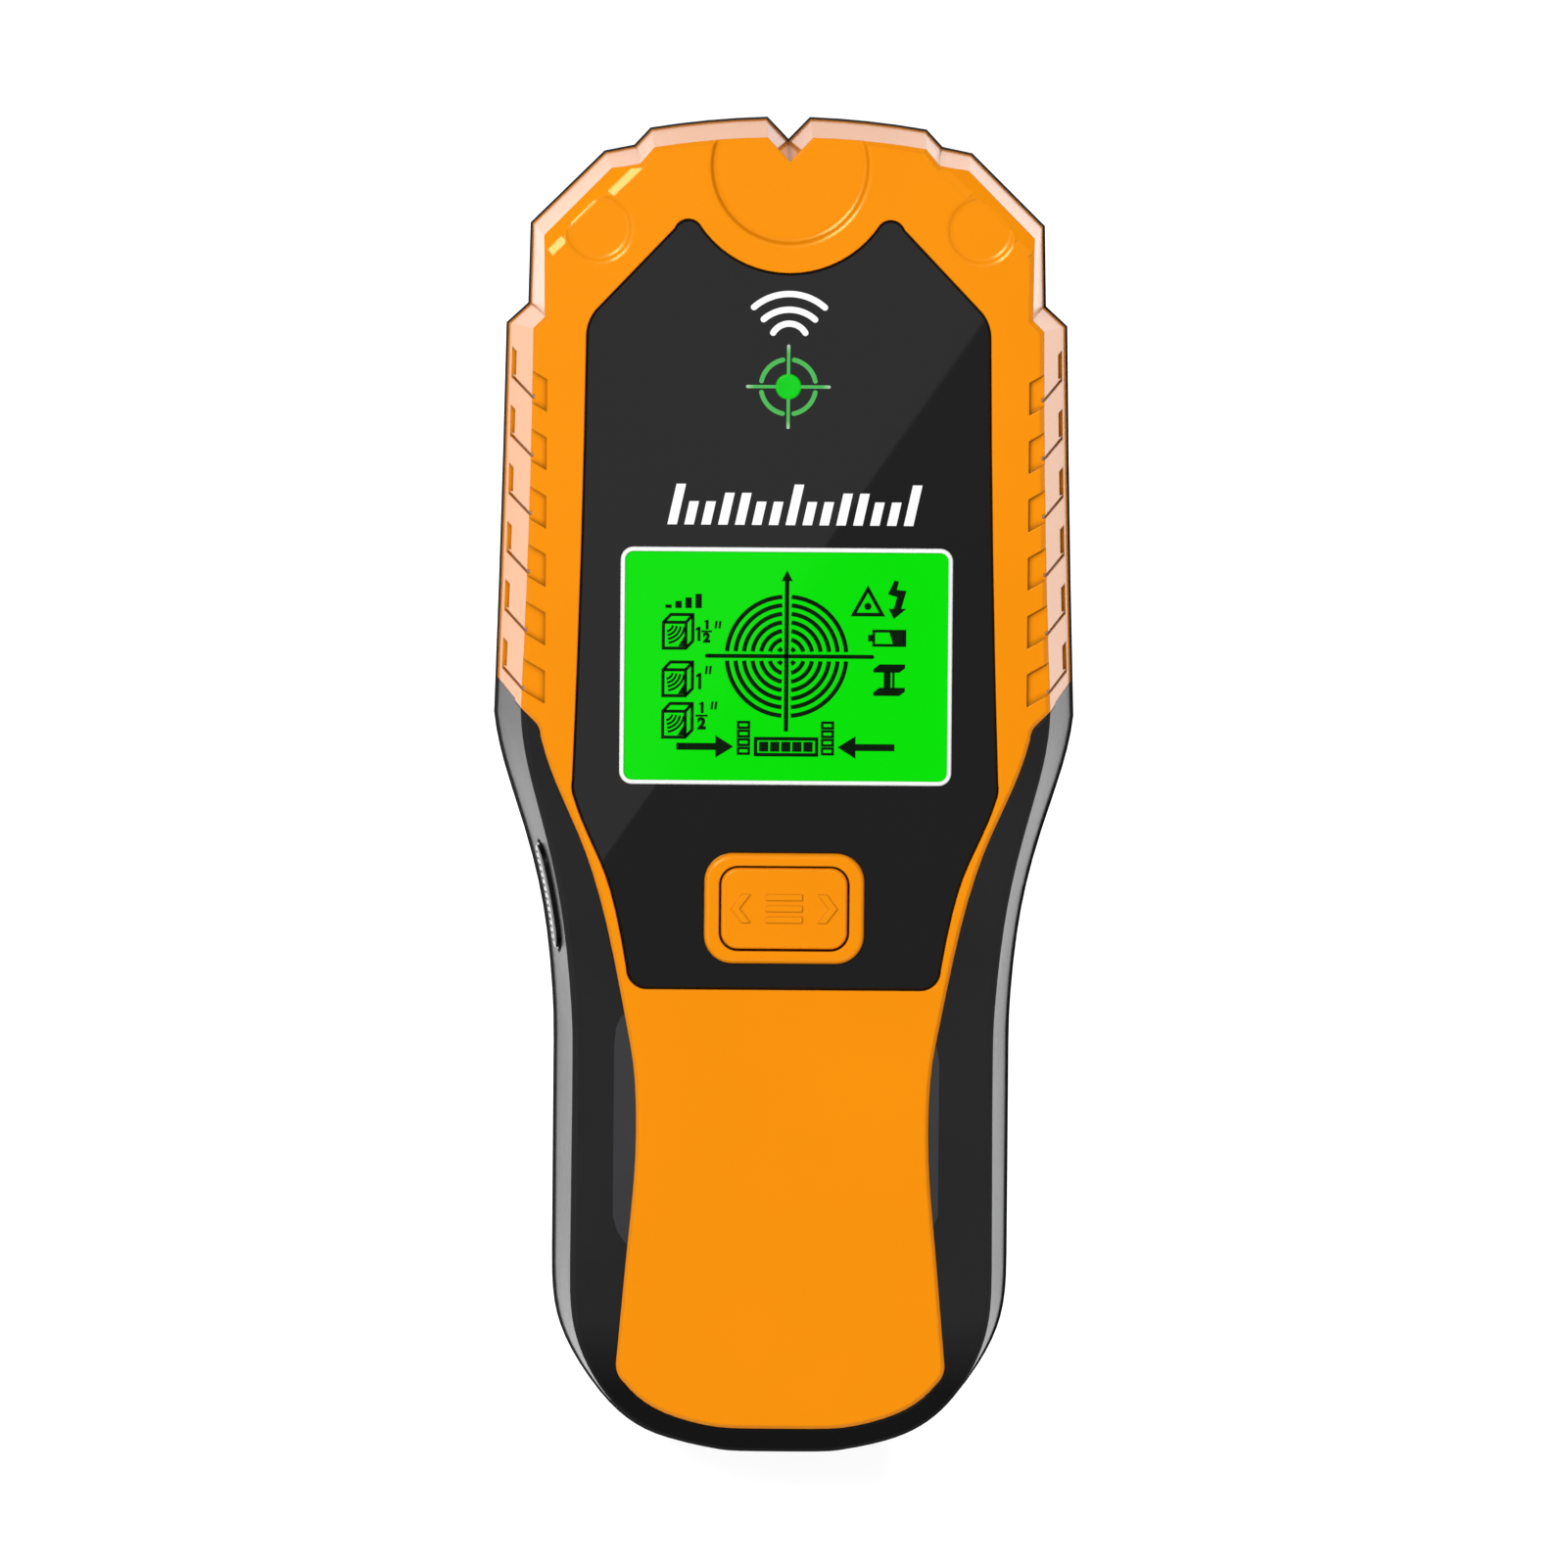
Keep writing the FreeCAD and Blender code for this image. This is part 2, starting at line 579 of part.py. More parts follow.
def battery_door():
    """Flat sliding door that follows the rear shell's own outside at the lower end."""
    plate = block(-DOOR_HALF, DOOR_HALF, -BEYOND, DOOR_TOP_Y, DOOR_Z[0], DOOR_Z[1])
    reach = DOOR_HALF + DOOR_TONGUE
    tongue = block(-reach, reach, -76, DOOR_TOP_Y - 1, TONGUE_Z, DOOR_Z[1])
    door = fuse([plate, tongue]).common(rear_body())
    count, first, pitch = GRIP_GROOVES
    length, width, depth = GRIP_GROOVE
    grooves = []
    for i in range(count):
        size = (length * (1 - i / 10), width, 0.45 * width)
        grooves.append(rounded_block(size, 0, first - pitch * i, 0, DOOR_Z[0] + depth))
    return door.cut(grooves)


def glide_pads():
    pads = []
    for size, x, y in GLIDE_PADS:
        pads += both_sides([rounded_block(size, x, y, 0, PAD_THICK)])
    return Part.makeCompound(pads)


# ================================================================ front panel and display
def display_panel():
    base = PANEL_Z - PANEL_THICK
    panel = stack([
        (inset(PANEL_OUTLINE, PANEL_GAP), base),
        (inset(PANEL_OUTLINE, PANEL_GAP), PANEL_Z - PANEL_BEVEL),
        (inset(PANEL_OUTLINE, PANEL_GAP + PANEL_BEVEL), PANEL_Z),
    ])
    width, height, radius = LCD_FRAME
    window = rounded_block((width + 0.1, height + 0.1, radius), 0, LCD_Y, base - 1, FACE_Z)
    width, height, radius = COLLAR
    key_window = rounded_block((width + 0.2, height + 0.2, radius + 0.1), 0, KEY_Y, base - 1, FACE_Z)
    target = post(0, TARGET_Y, TARGET_R + 0.05, base - 1, FACE_Z)
    return panel.cut([window, key_window, target])


def lcd_frame():
    outer = soften_top(rounded_block(LCD_FRAME, 0, LCD_Y, *LCD_FRAME_Z), 0.25)
    return outer.cut(rounded_block(LCD_GLASS, 0, LCD_Y, LCD_FRAME_Z[0] - 1, FACE_Z))


def lcd_glass():
    return rounded_block(LCD_GLASS, 0, LCD_Y, *LCD_GLASS_Z)


def lcd_light_guide():
    return rounded_block(LCD_GUIDE, 0, LCD_Y, LCD_GUIDE_LOW, LCD_GLASS_Z[0])


def lcd_contact_strips():
    half, thick = CONTACT_STRIP[0] / 2, CONTACT_STRIP[1] / 2
    strips = []
    for y in (LCD_Y - CONTACT_STRIP_REACH, LCD_Y + CONTACT_STRIP_REACH):
        strips.append(block(-half, half, y - thick, y + thick, BOARD_TOP, LCD_GLASS_Z[0]))
    return Part.makeCompound(strips)


def target_light_pipe():
    pipe = post(0, TARGET_Y, TARGET_R, *TARGET_Z)
    flange = post(0, TARGET_Y, TARGET_FLANGE_R, HEAD_CEILING_Z - 0.9, HEAD_CEILING_Z - 0.1)
    return soften_top(fuse([pipe, flange]), 0.2)


def target_lamp():
    """Round lamp on a wider foot, with a domed end."""
    foot_r, foot = LAMP_BASE
    bulb_r, bulb = LAMP_BULB
    neck = BOARD_TOP + foot
    dome = Part.makeSphere(bulb_r, V(0, TARGET_Y, neck + bulb), V(0, 0, 1), 0, 90, 360)
    base = post(0, TARGET_Y, foot_r, BOARD_TOP, neck)
    return fuse([base, post(0, TARGET_Y, bulb_r, neck, neck + bulb), dome])


# ================================================================ mode key
def key_symbol():
    """Raised symbol: three short bars between two arrowheads."""
    length, width, pitch = KEY_BAR
    low = KEY_Z - 0.1
    top = KEY_Z + KEY_RELIEF
    shapes = []
    for y in (KEY_Y - pitch, KEY_Y, KEY_Y + pitch):
        shapes.append(block(-length / 2, length / 2, y - width / 2, y + width / 2, low, top))
    for side in (-1, 1):
        points = [V(side * x, KEY_Y + y, low) for x, y in KEY_ARROW]
        shapes.append(polygon_prism(points, V(0, 0, top - low)))
    return shapes


def mode_key():
    cap = soften_top(rounded_block(KEY, 0, KEY_Y, KEY_FLANGE_Z[0], KEY_Z), KEY_ROUND)
    flange = rounded_block(KEY_FLANGE, 0, KEY_Y, *KEY_FLANGE_Z)
    stem = post(0, KEY_Y, KEY_STEM_R, MODE_PLUNGER_Z[1], KEY_FLANGE_Z[0])
    return fuse([cap, flange, stem] + key_symbol())


def mode_switch_plunger():
    return post(0, KEY_Y, MODE_PLUNGER_R, *MODE_PLUNGER_Z)


def mode_switch_body():
    half = SWITCH_SIDE / 2
    body = block(-half, half, KEY_Y - half, KEY_Y + half, BOARD_TOP, MODE_SWITCH_TOP)
    radius = MODE_PLUNGER_R + PLUNGER_GAP
    return body.cut(post(0, KEY_Y, radius, MODE_SWITCH_FLOOR, MODE_SWITCH_TOP + 1))


# ================================================================ side button
def side_button():
    """Oval button that stands proud of the wall and follows it, with grooves across its lower
    half, a retaining flange inside the wall and a stem to its switch."""
    proud = front_body(-SIDE_BUTTON_PROUD)
    oval = side_place(side_oval(SIDE_BUTTON, -3, SIDE_FLANGE_DEPTH[0]))
    narrow = tuple(size - 2 * SIDE_BUTTON_BEVEL for size in SIDE_BUTTON)
    rim = oval.common(front_body(SIDE_BUTTON_BEVEL - SIDE_BUTTON_PROUD))
    crown = side_place(side_oval(narrow, -3, SIDE_FLANGE_DEPTH[0])).common(proud)
    count, pitch, width = SIDE_RIDGES
    skin = proud.cut(front_body(SIDE_RIDGE_DEPTH - SIDE_BUTTON_PROUD))
    grooves = []
    for i in range(count):
        y = pitch * (i - (count - 1) / 2)
        bar = side_place(block(-3, 2, y - width / 2, y + width / 2, -3, 0))
        grooves.append(bar.common(skin))
    cap = fuse([rim, crown]).cut(grooves)
    flange = side_place(side_oval(SIDE_FLANGE, *SIDE_FLANGE_DEPTH))
    start = SIDE_FLANGE_DEPTH[1]
    length = SIDE_PLUNGER_DEPTH[0] - start
    stem = side_place(Part.makeCylinder(SIDE_STEM_R, length, V(start, 0, 0), V(1, 0, 0)))
    return fuse([cap, flange, stem])


def side_switch_plunger():
    start, end = SIDE_PLUNGER_DEPTH
    return side_place(Part.makeCylinder(SIDE_PLUNGER_R, end - start, V(start, 0, 0), V(1, 0, 0)))


def side_switch_body():
    start, end = SIDE_SWITCH_DEPTH
    half = SIDE_SWITCH_WIDTH / 2
    low = BOARD_TOP - SIDE_BUTTON_AT.z
    body = block(start, end, -half, half, low, SIDE_SWITCH_TOP - SIDE_BUTTON_AT.z)
    hole = Part.makeCylinder(SIDE_PLUNGER_R + PLUNGER_GAP, 3, V(start - 1, 0, 0), V(1, 0, 0))
    return side_place(body.cut(hole))


# ================================================================ boards and what they carry
def main_board():
    holes = [post(x, y, BOARD_HOLE_R, BOARD_Z - 1, BOARD_TOP + 1) for x, y in BOARD_POSTS]
    return prism(BOARD_OUTLINE, BOARD_Z, BOARD_TOP).cut(holes)


def sensor_board():
    return prism(SENSOR_BOARD_OUTLINE, SENSOR_BOARD_Z, SENSOR_BOARD_Z + SENSOR_BOARD_THICK)


def sensor_plate(x0, x1, y0, y1):
    return block(x0, x1, y0, y1, SENSOR_BOARD_Z - PLATE_THICK, SENSOR_BOARD_Z)


def board_spacers():
    low = SENSOR_BOARD_Z + SENSOR_BOARD_THICK
    spacers = []
    for x, y in BOARD_POSTS:
        bore = post(x, y, BOARD_SCREW_R, BOARD_TOP - BOARD_SCREW_LENGTH - 2.5, BOARD_TOP)
        spacers.append(post(x, y, POST_R, low, BOARD_Z).cut(bore))
    return Part.makeCompound(spacers)


def cross_cutter(x, y, cross, z0, z1):
    """Cutter for the cross recess of a screw."""
    length, width = cross[0] / 2, cross[1] / 2
    return [block(x - length, x + length, y - width, y + width, z0, z1),
            block(x - width, x + width, y - length, y + length, z0, z1)]


def board_screws():
    radius, height = BOARD_SCREW_HEAD
    top = BOARD_TOP + height
    screws = []
    for x, y in BOARD_POSTS:
        head = soften_top(post(x, y, radius, BOARD_TOP, top), 0.5)
        shank = post(x, y, BOARD_SCREW_R, BOARD_TOP - BOARD_SCREW_LENGTH, BOARD_TOP)
        recess = cross_cutter(x, y, BOARD_SCREW_CROSS, top - BOARD_SCREW_CROSS[2], top + 1)
        screws.append(fuse([head, shank]).cut(recess))
    return Part.makeCompound(screws)


def case_screws():
    """Screws from the back, with a cross recess in the head."""
    low, high = SCREW_HEAD_Z
    screws = []
    for x, y in CASE_SCREWS:
        head = post(x, y, SCREW_HEAD_R, low, high)
        shank = post(x, y, SCREW_R, high, SCREW_TIP_Z - 0.5)
        recess = cross_cutter(x, y, SCREW_CROSS, 0, low + SCREW_CROSS[2])
        screws.append(fuse([head, shank]).cut(recess))
    return Part.makeCompound(screws)


def spread(count, pitch):
    """Evenly pitched places either side of zero."""
    return [pitch * (i - (count - 1) / 2) for i in range(count)]


def board_header():
    low = SENSOR_BOARD_Z + SENSOR_BOARD_THICK
    length, side = HEADER_BASE
    pieces = [block(-length / 2, length / 2, HEADER_Y - side / 2, HEADER_Y + side / 2, low, low + side)]
    pin = PIN_WIDTH / 2
    for x in spread(*HEADER_PINS):
        pieces.append(block(x - pin, x + pin, HEADER_Y - pin, HEADER_Y + pin, low, BOARD_Z))
    return fuse(pieces)


def bar_along_x(size):
    length, radius = size
    return Part.makeCylinder(radius, length, COIL_AT - V(length / 2, 0, 0), V(1, 0, 0))


def sensor_coil_core():
    return bar_along_x(COIL_CORE)


def sensor_coil():
    return bar_along_x(COIL).cut(sensor_coil_core())


def hung_block(x, y, width, length, drop, thick):
    """A block whose top is drop under the main board's lower face."""
    top = BOARD_Z - drop
    return block(x - width / 2, x + width / 2, y - length / 2, y + length / 2, top - thick, top)


def main_chip():
    x, y = MAIN_CHIP_AT
    side, thick, over = MAIN_CHIP
    pieces = [hung_block(x, y, side, side, CHIP_LIFT, thick)]
    for step in spread(*MAIN_CHIP_LEGS):
        pieces.append(hung_block(x + step, y, LEG_WIDTH, over, 0, LEG_THICK))
        pieces.append(hung_block(x, y + step, over, LEG_WIDTH, 0, LEG_THICK))
    return fuse(pieces)


def small_chips():
    width, length, thick, over = SMALL_CHIP
    chips = []
    for x, y in SMALL_CHIPS_AT:
        pieces = [hung_block(x, y, width, length, CHIP_LIFT, thick)]
        for step in spread(*SMALL_CHIP_LEGS):
            pieces.append(hung_block(x, y + step, over, LEG_WIDTH, 0, LEG_THICK))
        chips.append(fuse(pieces))
    return Part.makeCompound(chips)


def capacitors():
    radius, height = CAPACITOR
    cans = [post(x, y, radius, BOARD_Z - height, BOARD_Z) for x, y in CAPACITORS_AT]
    return Part.makeCompound(cans)


def crystal():
    foot = BOARD_Z - CRYSTAL_FOOT_HEIGHT
    can = rounded_block(CRYSTAL, *CRYSTAL_AT, BOARD_Z - CRYSTAL_HEIGHT, foot)
    return fuse([can, rounded_block(CRYSTAL_FOOT, *CRYSTAL_AT, foot, BOARD_Z)])


def buzzer():
    radius, height = BUZZER
    hole_r, depth = BUZZER_HOLE
    top = BOARD_TOP + height
    can = soften_top(post(0, BUZZER_Y, radius, BOARD_TOP, top), 0.5)
    return can.cut(post(0, BUZZER_Y, hole_r, top - depth, top + 1))


# ================================================================ battery
def battery():
    width, length, height = BATTERY
    can = block(-width / 2, width / 2, BATTERY_END_Y, BATTERY_END_Y + length,
                BATTERY_Z, BATTERY_Z + height)
    long_edges = [e for e in can.Edges if abs(e.Vertexes[0].Y - e.Vertexes[-1].Y) > length / 2]
    return can.makeFillet(BATTERY_EDGE_R, long_edges)


def battery_terminals():
    end = BATTERY_END_Y + BATTERY[1]
    middle = BATTERY_Z + BATTERY[2] / 2
    studs = [Part.makeCylinder(radius, TERMINAL_LENGTH, V(x, end, middle), V(0, 1, 0))
             for x, radius in TERMINALS]
    return Part.makeCompound(studs)


def snap_start():
    return BATTERY_END_Y + BATTERY[1] + TERMINAL_LENGTH


def battery_snap():
    width, thick, height = SNAP
    low = BATTERY_Z + (BATTERY[2] - height) / 2
    return block(-width / 2, width / 2, snap_start(), snap_start() + thick, low, low + height)


def battery_foam():
    width, start, end = FOAM
    return block(-width / 2, width / 2, start, end, BATTERY_Z + BATTERY[2], HANDLE_CEILING_Z)


def lead(x):
    """Lead from the snap, along the handle and up to the main board."""
    start = V(x, snap_start() + SNAP[1], LEAD_Z)
    turn = start + V(0, LEAD_RUN, 0)
    half = math.sin(math.radians(45))
    middle = turn + V(0, LEAD_BEND * half, LEAD_BEND * (1 - half))
    end = turn + V(0, LEAD_BEND, LEAD_BEND)
    run = Part.LineSegment(start, turn).toShape()
    bend = Part.Arc(turn, middle, end).toShape()
    rise = Part.LineSegment(end, V(end.x, end.y, BOARD_Z)).toShape()
    path = Part.Wire([run, bend, rise])
    ring = Part.Wire([Part.makeCircle(LEAD_R, start, V(0, 1, 0))])
    return path.makePipeShell([ring], True, True)


# ================================================================ all nodes
def nodes():
    return {
        "front_shell": front_shell(),
        "grip_overmold": grip_overmold(),
        "rear_shell": rear_shell(),
        "battery_door": battery_door(),
        "glide_pads": glide_pads(),
        "display_panel": display_panel(),
        "lcd_frame": lcd_frame(),
        "lcd_glass": lcd_glass(),
        "lcd_light_guide": lcd_light_guide(),
        "lcd_contact_strips": lcd_contact_strips(),
        "target_light_pipe": target_light_pipe(),
        "target_lamp": target_lamp(),
        "mode_key": mode_key(),
        "mode_switch_plunger": mode_switch_plunger(),
        "mode_switch_body": mode_switch_body(),
        "side_button": side_button(),
        "side_switch_plunger": side_switch_plunger(),
        "side_switch_body": side_switch_body(),
        "main_board": main_board(),
        "sensor_board": sensor_board(),
        "sensor_plate_centre": sensor_plate(-8, 8, 12, 60),
        "sensor_plate_right": sensor_plate(11, 22, 15, 48),
        "sensor_plate_left": sensor_plate(-22, -11, 15, 48),
        "board_spacers": board_spacers(),
        "board_screws": board_screws(),
        "case_screws": case_screws(),
        "board_header": board_header(),
        "sensor_coil_core": sensor_coil_core(),
        "sensor_coil": sensor_coil(),
        "main_chip": main_chip(),
        "small_chips": small_chips(),
        "capacitors": capacitors(),
        "crystal": crystal(),
        "buzzer": buzzer(),
        "battery": battery(),
        "battery_terminals": battery_terminals(),
        "battery_snap": battery_snap(),
        "battery_foam": battery_foam(),
        "battery_lead_red": lead(LEAD_X),
        "battery_lead_black": lead(-LEAD_X),
    }


def main():
    os.makedirs("parts", exist_ok=True)
    for name, shape in nodes().items():
        shape.exportStep("parts/" + name + ".step")
        print(name, len(shape.Solids), shape.isValid(), round(shape.Volume, 1))


main()
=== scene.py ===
import json
import math

import bmesh
import bpy
from mathutils import Matrix, Vector


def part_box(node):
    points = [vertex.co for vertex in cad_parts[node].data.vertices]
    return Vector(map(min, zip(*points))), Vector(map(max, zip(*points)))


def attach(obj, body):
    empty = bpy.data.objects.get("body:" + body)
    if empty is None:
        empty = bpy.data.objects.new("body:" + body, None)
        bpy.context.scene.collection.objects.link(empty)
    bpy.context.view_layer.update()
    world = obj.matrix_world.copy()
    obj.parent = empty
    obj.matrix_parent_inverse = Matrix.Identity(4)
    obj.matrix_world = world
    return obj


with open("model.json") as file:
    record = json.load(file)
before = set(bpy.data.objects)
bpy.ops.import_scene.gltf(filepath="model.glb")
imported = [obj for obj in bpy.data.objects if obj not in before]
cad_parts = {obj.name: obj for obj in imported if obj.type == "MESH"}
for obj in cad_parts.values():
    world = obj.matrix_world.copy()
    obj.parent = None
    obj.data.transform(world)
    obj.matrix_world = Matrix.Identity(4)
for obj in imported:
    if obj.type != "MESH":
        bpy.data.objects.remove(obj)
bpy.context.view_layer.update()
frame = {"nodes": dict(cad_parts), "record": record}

HOUSING = "housing"
MM = 0.001


def middle_of(box):
    low, high = box
    return [(a + b) / 2 for a, b in zip(low, high)]


PARTING_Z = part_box("rear_shell")[1][2]     # top of the rear shell, where the case halves meet
PANEL_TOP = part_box("display_panel")[1][2]
GLASS_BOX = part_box("lcd_glass")
GLASS_TOP = GLASS_BOX[1][2]
GRIP_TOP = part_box("grip_overmold")[1][2]
GRIP_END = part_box("grip_overmold")[0][1]   # the handle's lower end, along Y
GLASS_MIDDLE = middle_of(GLASS_BOX)
TARGET_MIDDLE = middle_of(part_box("target_light_pipe"))
BUTTON_MIDDLE = middle_of(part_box("side_button"))


# ================================================================ materials
def new_material(name):
    material = bpy.data.materials.new(name)
    material.use_nodes = True
    return material, material.node_tree.nodes, material.node_tree.links


def noise(nodes, links, coords, scale, detail=3.0, roughness=0.5):
    node = nodes.new("ShaderNodeTexNoise")
    node.inputs["Scale"].default_value = scale
    node.inputs["Detail"].default_value = detail
    node.inputs["Roughness"].default_value = roughness
    links.new(coords, node.inputs["Vector"])
    return node.outputs["Fac"]


def remap(nodes, links, value, low, high, start=0.3, end=0.7):
    node = nodes.new("ShaderNodeMapRange")
    node.inputs["From Min"].default_value = start
    node.inputs["From Max"].default_value = end
    node.inputs["To Min"].default_value = low
    node.inputs["To Max"].default_value = high
    links.new(value, node.inputs["Value"])
    return node.outputs["Result"]


def blend_colours(nodes, links, factor, first, second):
    node = nodes.new("ShaderNodeMix")
    node.data_type = "RGBA"
    links.new(factor, node.inputs["Factor"])
    for socket, colour in ((node.inputs["A"], first), (node.inputs["B"], second)):
        if isinstance(colour, bpy.types.NodeSocket):
            links.new(colour, socket)
        else:
            socket.default_value = (*colour, 1.0)
    return node.outputs["Result"]


EDGE_AGREEMENT = (0.80, 0.99)              # of the two normals: full wear and painted highlight, and none


def edge_mask(nodes, links, rounded_normal, strength):
    """strength on sharp edges, 0 on faces: how far the rounded normal leans from the true one."""
    geometry = nodes.new("ShaderNodeNewGeometry")
    dot = nodes.new("ShaderNodeVectorMath")
    dot.operation = "DOT_PRODUCT"
    links.new(rounded_normal, dot.inputs[0])
    links.new(geometry.outputs["Normal"], dot.inputs[1])
    return remap(nodes, links, dot.outputs["Value"], strength, 0.0, *EDGE_AGREEMENT)


def scaled(colour, factor):
    return tuple(min(1.0, c * factor) for c in colour)


COAT_ROUGHNESS = 0.1
BUMP_STRENGTH = 0.35
PAINTED_GROOVE_SHADE = 0.55        # painted shade: how much of its colour a surface keeps deep in a groove
GROOVE_OPENNESS = (0.5, 0.95)              # share of open surroundings: full painted shade, and none


def moulded(name, colour, rough, vary=0.05, patch=35.0, grain=2200.0, bump=0.02, spread=0.06,
            edge=0.0, wear_and_highlight=0.0, wear_and_highlight_tint=None, metallic=0.0, specular=0.5, coat=0.0, sheen=0.0,
            glow=None, glow_strength=0.0, glint=None, painted_groove_shade=0.0):
    """Moulded or finished surface: patches whose tone differs by vary, and fine grain in gloss
    and bump. patch and grain are the scales of the two, bump is the grain's depth in mm, and
    spread is how far its roughness differs. Where they are given, edge rounds the edges by that
    radius in mm, the wear setting and its tint colour them paler, as real wear on some surfaces
    and as a painted highlight on others, and the groove setting paints shade into the grooves
    up to that many mm across."""
    material, nodes, links = new_material(name)
    shader = nodes["Principled BSDF"]
    coords = nodes.new("ShaderNodeTexCoord").outputs["Object"]
    patches = noise(nodes, links, coords, patch, detail=4.0, roughness=0.55)
    fine = noise(nodes, links, coords, grain, detail=2.0, roughness=0.6)
    tone = blend_colours(nodes, links, remap(nodes, links, patches, 0.0, 1.0),
                         scaled(colour, 1.0 - vary), scaled(colour, 1.0 + vary))
    height = nodes.new("ShaderNodeBump")
    height.inputs["Strength"].default_value = BUMP_STRENGTH
    height.inputs["Distance"].default_value = bump * MM
    links.new(fine, height.inputs["Height"])
    if edge:
        bevel = nodes.new("ShaderNodeBevel")
        bevel.samples = 4
        bevel.inputs["Radius"].default_value = edge * MM
        links.new(bevel.outputs["Normal"], height.inputs["Normal"])
        # paler edges: real wear on the steel, a painted highlight on the rubber
        if wear_and_highlight:
            mask = edge_mask(nodes, links, bevel.outputs["Normal"], wear_and_highlight)
            tone = blend_colours(nodes, links, mask, tone, wear_and_highlight_tint)
    # painted shade: the colour is darkened in grooves and hollows, where less of the surroundings
    # is open
    if painted_groove_shade:
        open_sky = nodes.new("ShaderNodeAmbientOcclusion")
        open_sky.samples = 8
        open_sky.only_local = True
        open_sky.inputs["Distance"].default_value = painted_groove_shade * MM
        shade = remap(nodes, links, open_sky.outputs["AO"], 0.0, 1.0, *GROOVE_OPENNESS)
        tone = blend_colours(nodes, links, shade, scaled(colour, PAINTED_GROOVE_SHADE), tone)
    links.new(tone, shader.inputs["Base Color"])
    links.new(height.outputs["Normal"], shader.inputs["Normal"])
    gloss = nodes.new("ShaderNodeMath")
    gloss.operation = "ADD"
    links.new(remap(nodes, links, patches, rough - spread, rough + spread), gloss.inputs[0])
    links.new(remap(nodes, links, fine, -spread / 2, spread / 2), gloss.inputs[1])
    links.new(gloss.outputs["Value"], shader.inputs["Roughness"])
    shader.inputs["Metallic"].default_value = metallic
    shader.inputs["Specular IOR Level"].default_value = specular
    shader.inputs["Coat Weight"].default_value = coat
    shader.inputs["Coat Roughness"].default_value = COAT_ROUGHNESS
    shader.inputs["Sheen Weight"].default_value = sheen
    if glint:
        shader.inputs["Specular Tint"].default_value = (*glint, 1.0)
    if glow:
        shader.inputs["Emission Color"].default_value = (*glow, 1.0)
        shader.inputs["Emission Strength"].default_value = glow_strength
    return material


ORANGE = (0.665, 0.205, 0.002)
GLINT = (1.0, 0.9, 0.4)    # tint of the orange's highlights
RUBBER = (0.0135, 0.0135, 0.0142)
# painted highlight on the rubber's edges
RUBBER_EDGE_HIGHLIGHT = (0.035, 0.035, 0.037)
# painted shade: the rubber's colour at the handle's lower end
RUBBER_END_SHADE = scaled(RUBBER, 0.3)
END_SHADE_REACH = (8 * MM, 16 * MM)             # painted shade from the handle's lower end: full, and none
BUTTON_PAD = (0.58, 0.58, 0.59)
# painted shade on the button's upper flank, deep in its recess
BUTTON_TOP_SHADE = (0.002, 0.002, 0.002)
BUTTON_RISE = (0.1 * MM, 0.5 * MM)         # above the button's middle: pad colour, and black painted shade
TARGET_GREEN = (0.045, 0.33, 0.06)
TARGET_TIPS = (0.3, 0.42, 0.3)
TIPS_REACH = (3.9 * MM, 4.9 * MM)          # from the target's middle: green, and pale


def display_material():
    """Lit green display: an even glow with a faint grain of cells and broad soft patches."""
    material, nodes, links = new_material("green_display")
    shader = nodes["Principled BSDF"]
    coords = nodes.new("ShaderNodeTexCoord").outputs["Object"]
    cells = nodes.new("ShaderNodeTexVoronoi")
    cells.inputs["Scale"].default_value = 3200.0
    links.new(coords, cells.inputs["Vector"])
    patches = noise(nodes, links, coords, 60.0, detail=2.0)
    both = nodes.new("ShaderNodeMath")
    both.operation = "MULTIPLY"
    links.new(remap(nodes, links, cells.outputs["Distance"], 0.97, 1.0, 0.0, 0.6), both.inputs[0])
    links.new(remap(nodes, links, patches, 0.97, 1.03), both.inputs[1])
    grain = both.outputs["Value"]
    glow = blend_colours(nodes, links, grain, (0.0, 0.34, 0.0), (0.0, 0.37, 0.0))
    links.new(glow, shader.inputs["Emission Color"])
    shader.inputs["Emission Strength"].default_value = 1.0
    tone = blend_colours(nodes, links, grain, (0.0, 0.24, 0.0), (0.0, 0.27, 0.0))
    links.new(tone, shader.inputs["Base Color"])
    links.new(remap(nodes, links, patches, 0.03, 0.06), shader.inputs["Roughness"])
    shader.inputs["Specular IOR Level"].default_value = 0.16
    return material


def circuit_material():
    """Solder mask over faint copper tracks that run both ways."""
    material, nodes, links = new_material("circuit_board")
    shader = nodes["Principled BSDF"]
    coords = nodes.new("ShaderNodeTexCoord").outputs["Object"]
    tracks = nodes.new("ShaderNodeTexBrick")
    tracks.inputs["Scale"].default_value = 160.0
    tracks.inputs["Mortar Size"].default_value = 0.03
    links.new(coords, tracks.inputs["Vector"])
    mask, lacquer = (0.015, 0.12, 0.045), (0.03, 0.2, 0.07)
    tone = blend_colours(nodes, links, tracks.outputs["Fac"], mask, lacquer)
    links.new(tone, shader.inputs["Base Color"])
    height = nodes.new("ShaderNodeBump")
    height.inputs["Distance"].default_value = 0.03 * MM
    links.new(tracks.outputs["Fac"], height.inputs["Height"])
    links.new(height.outputs["Normal"], shader.inputs["Normal"])
    patches = noise(nodes, links, coords, 200.0)
    links.new(remap(nodes, links, patches, 0.25, 0.4), shader.inputs["Roughness"])
    return material


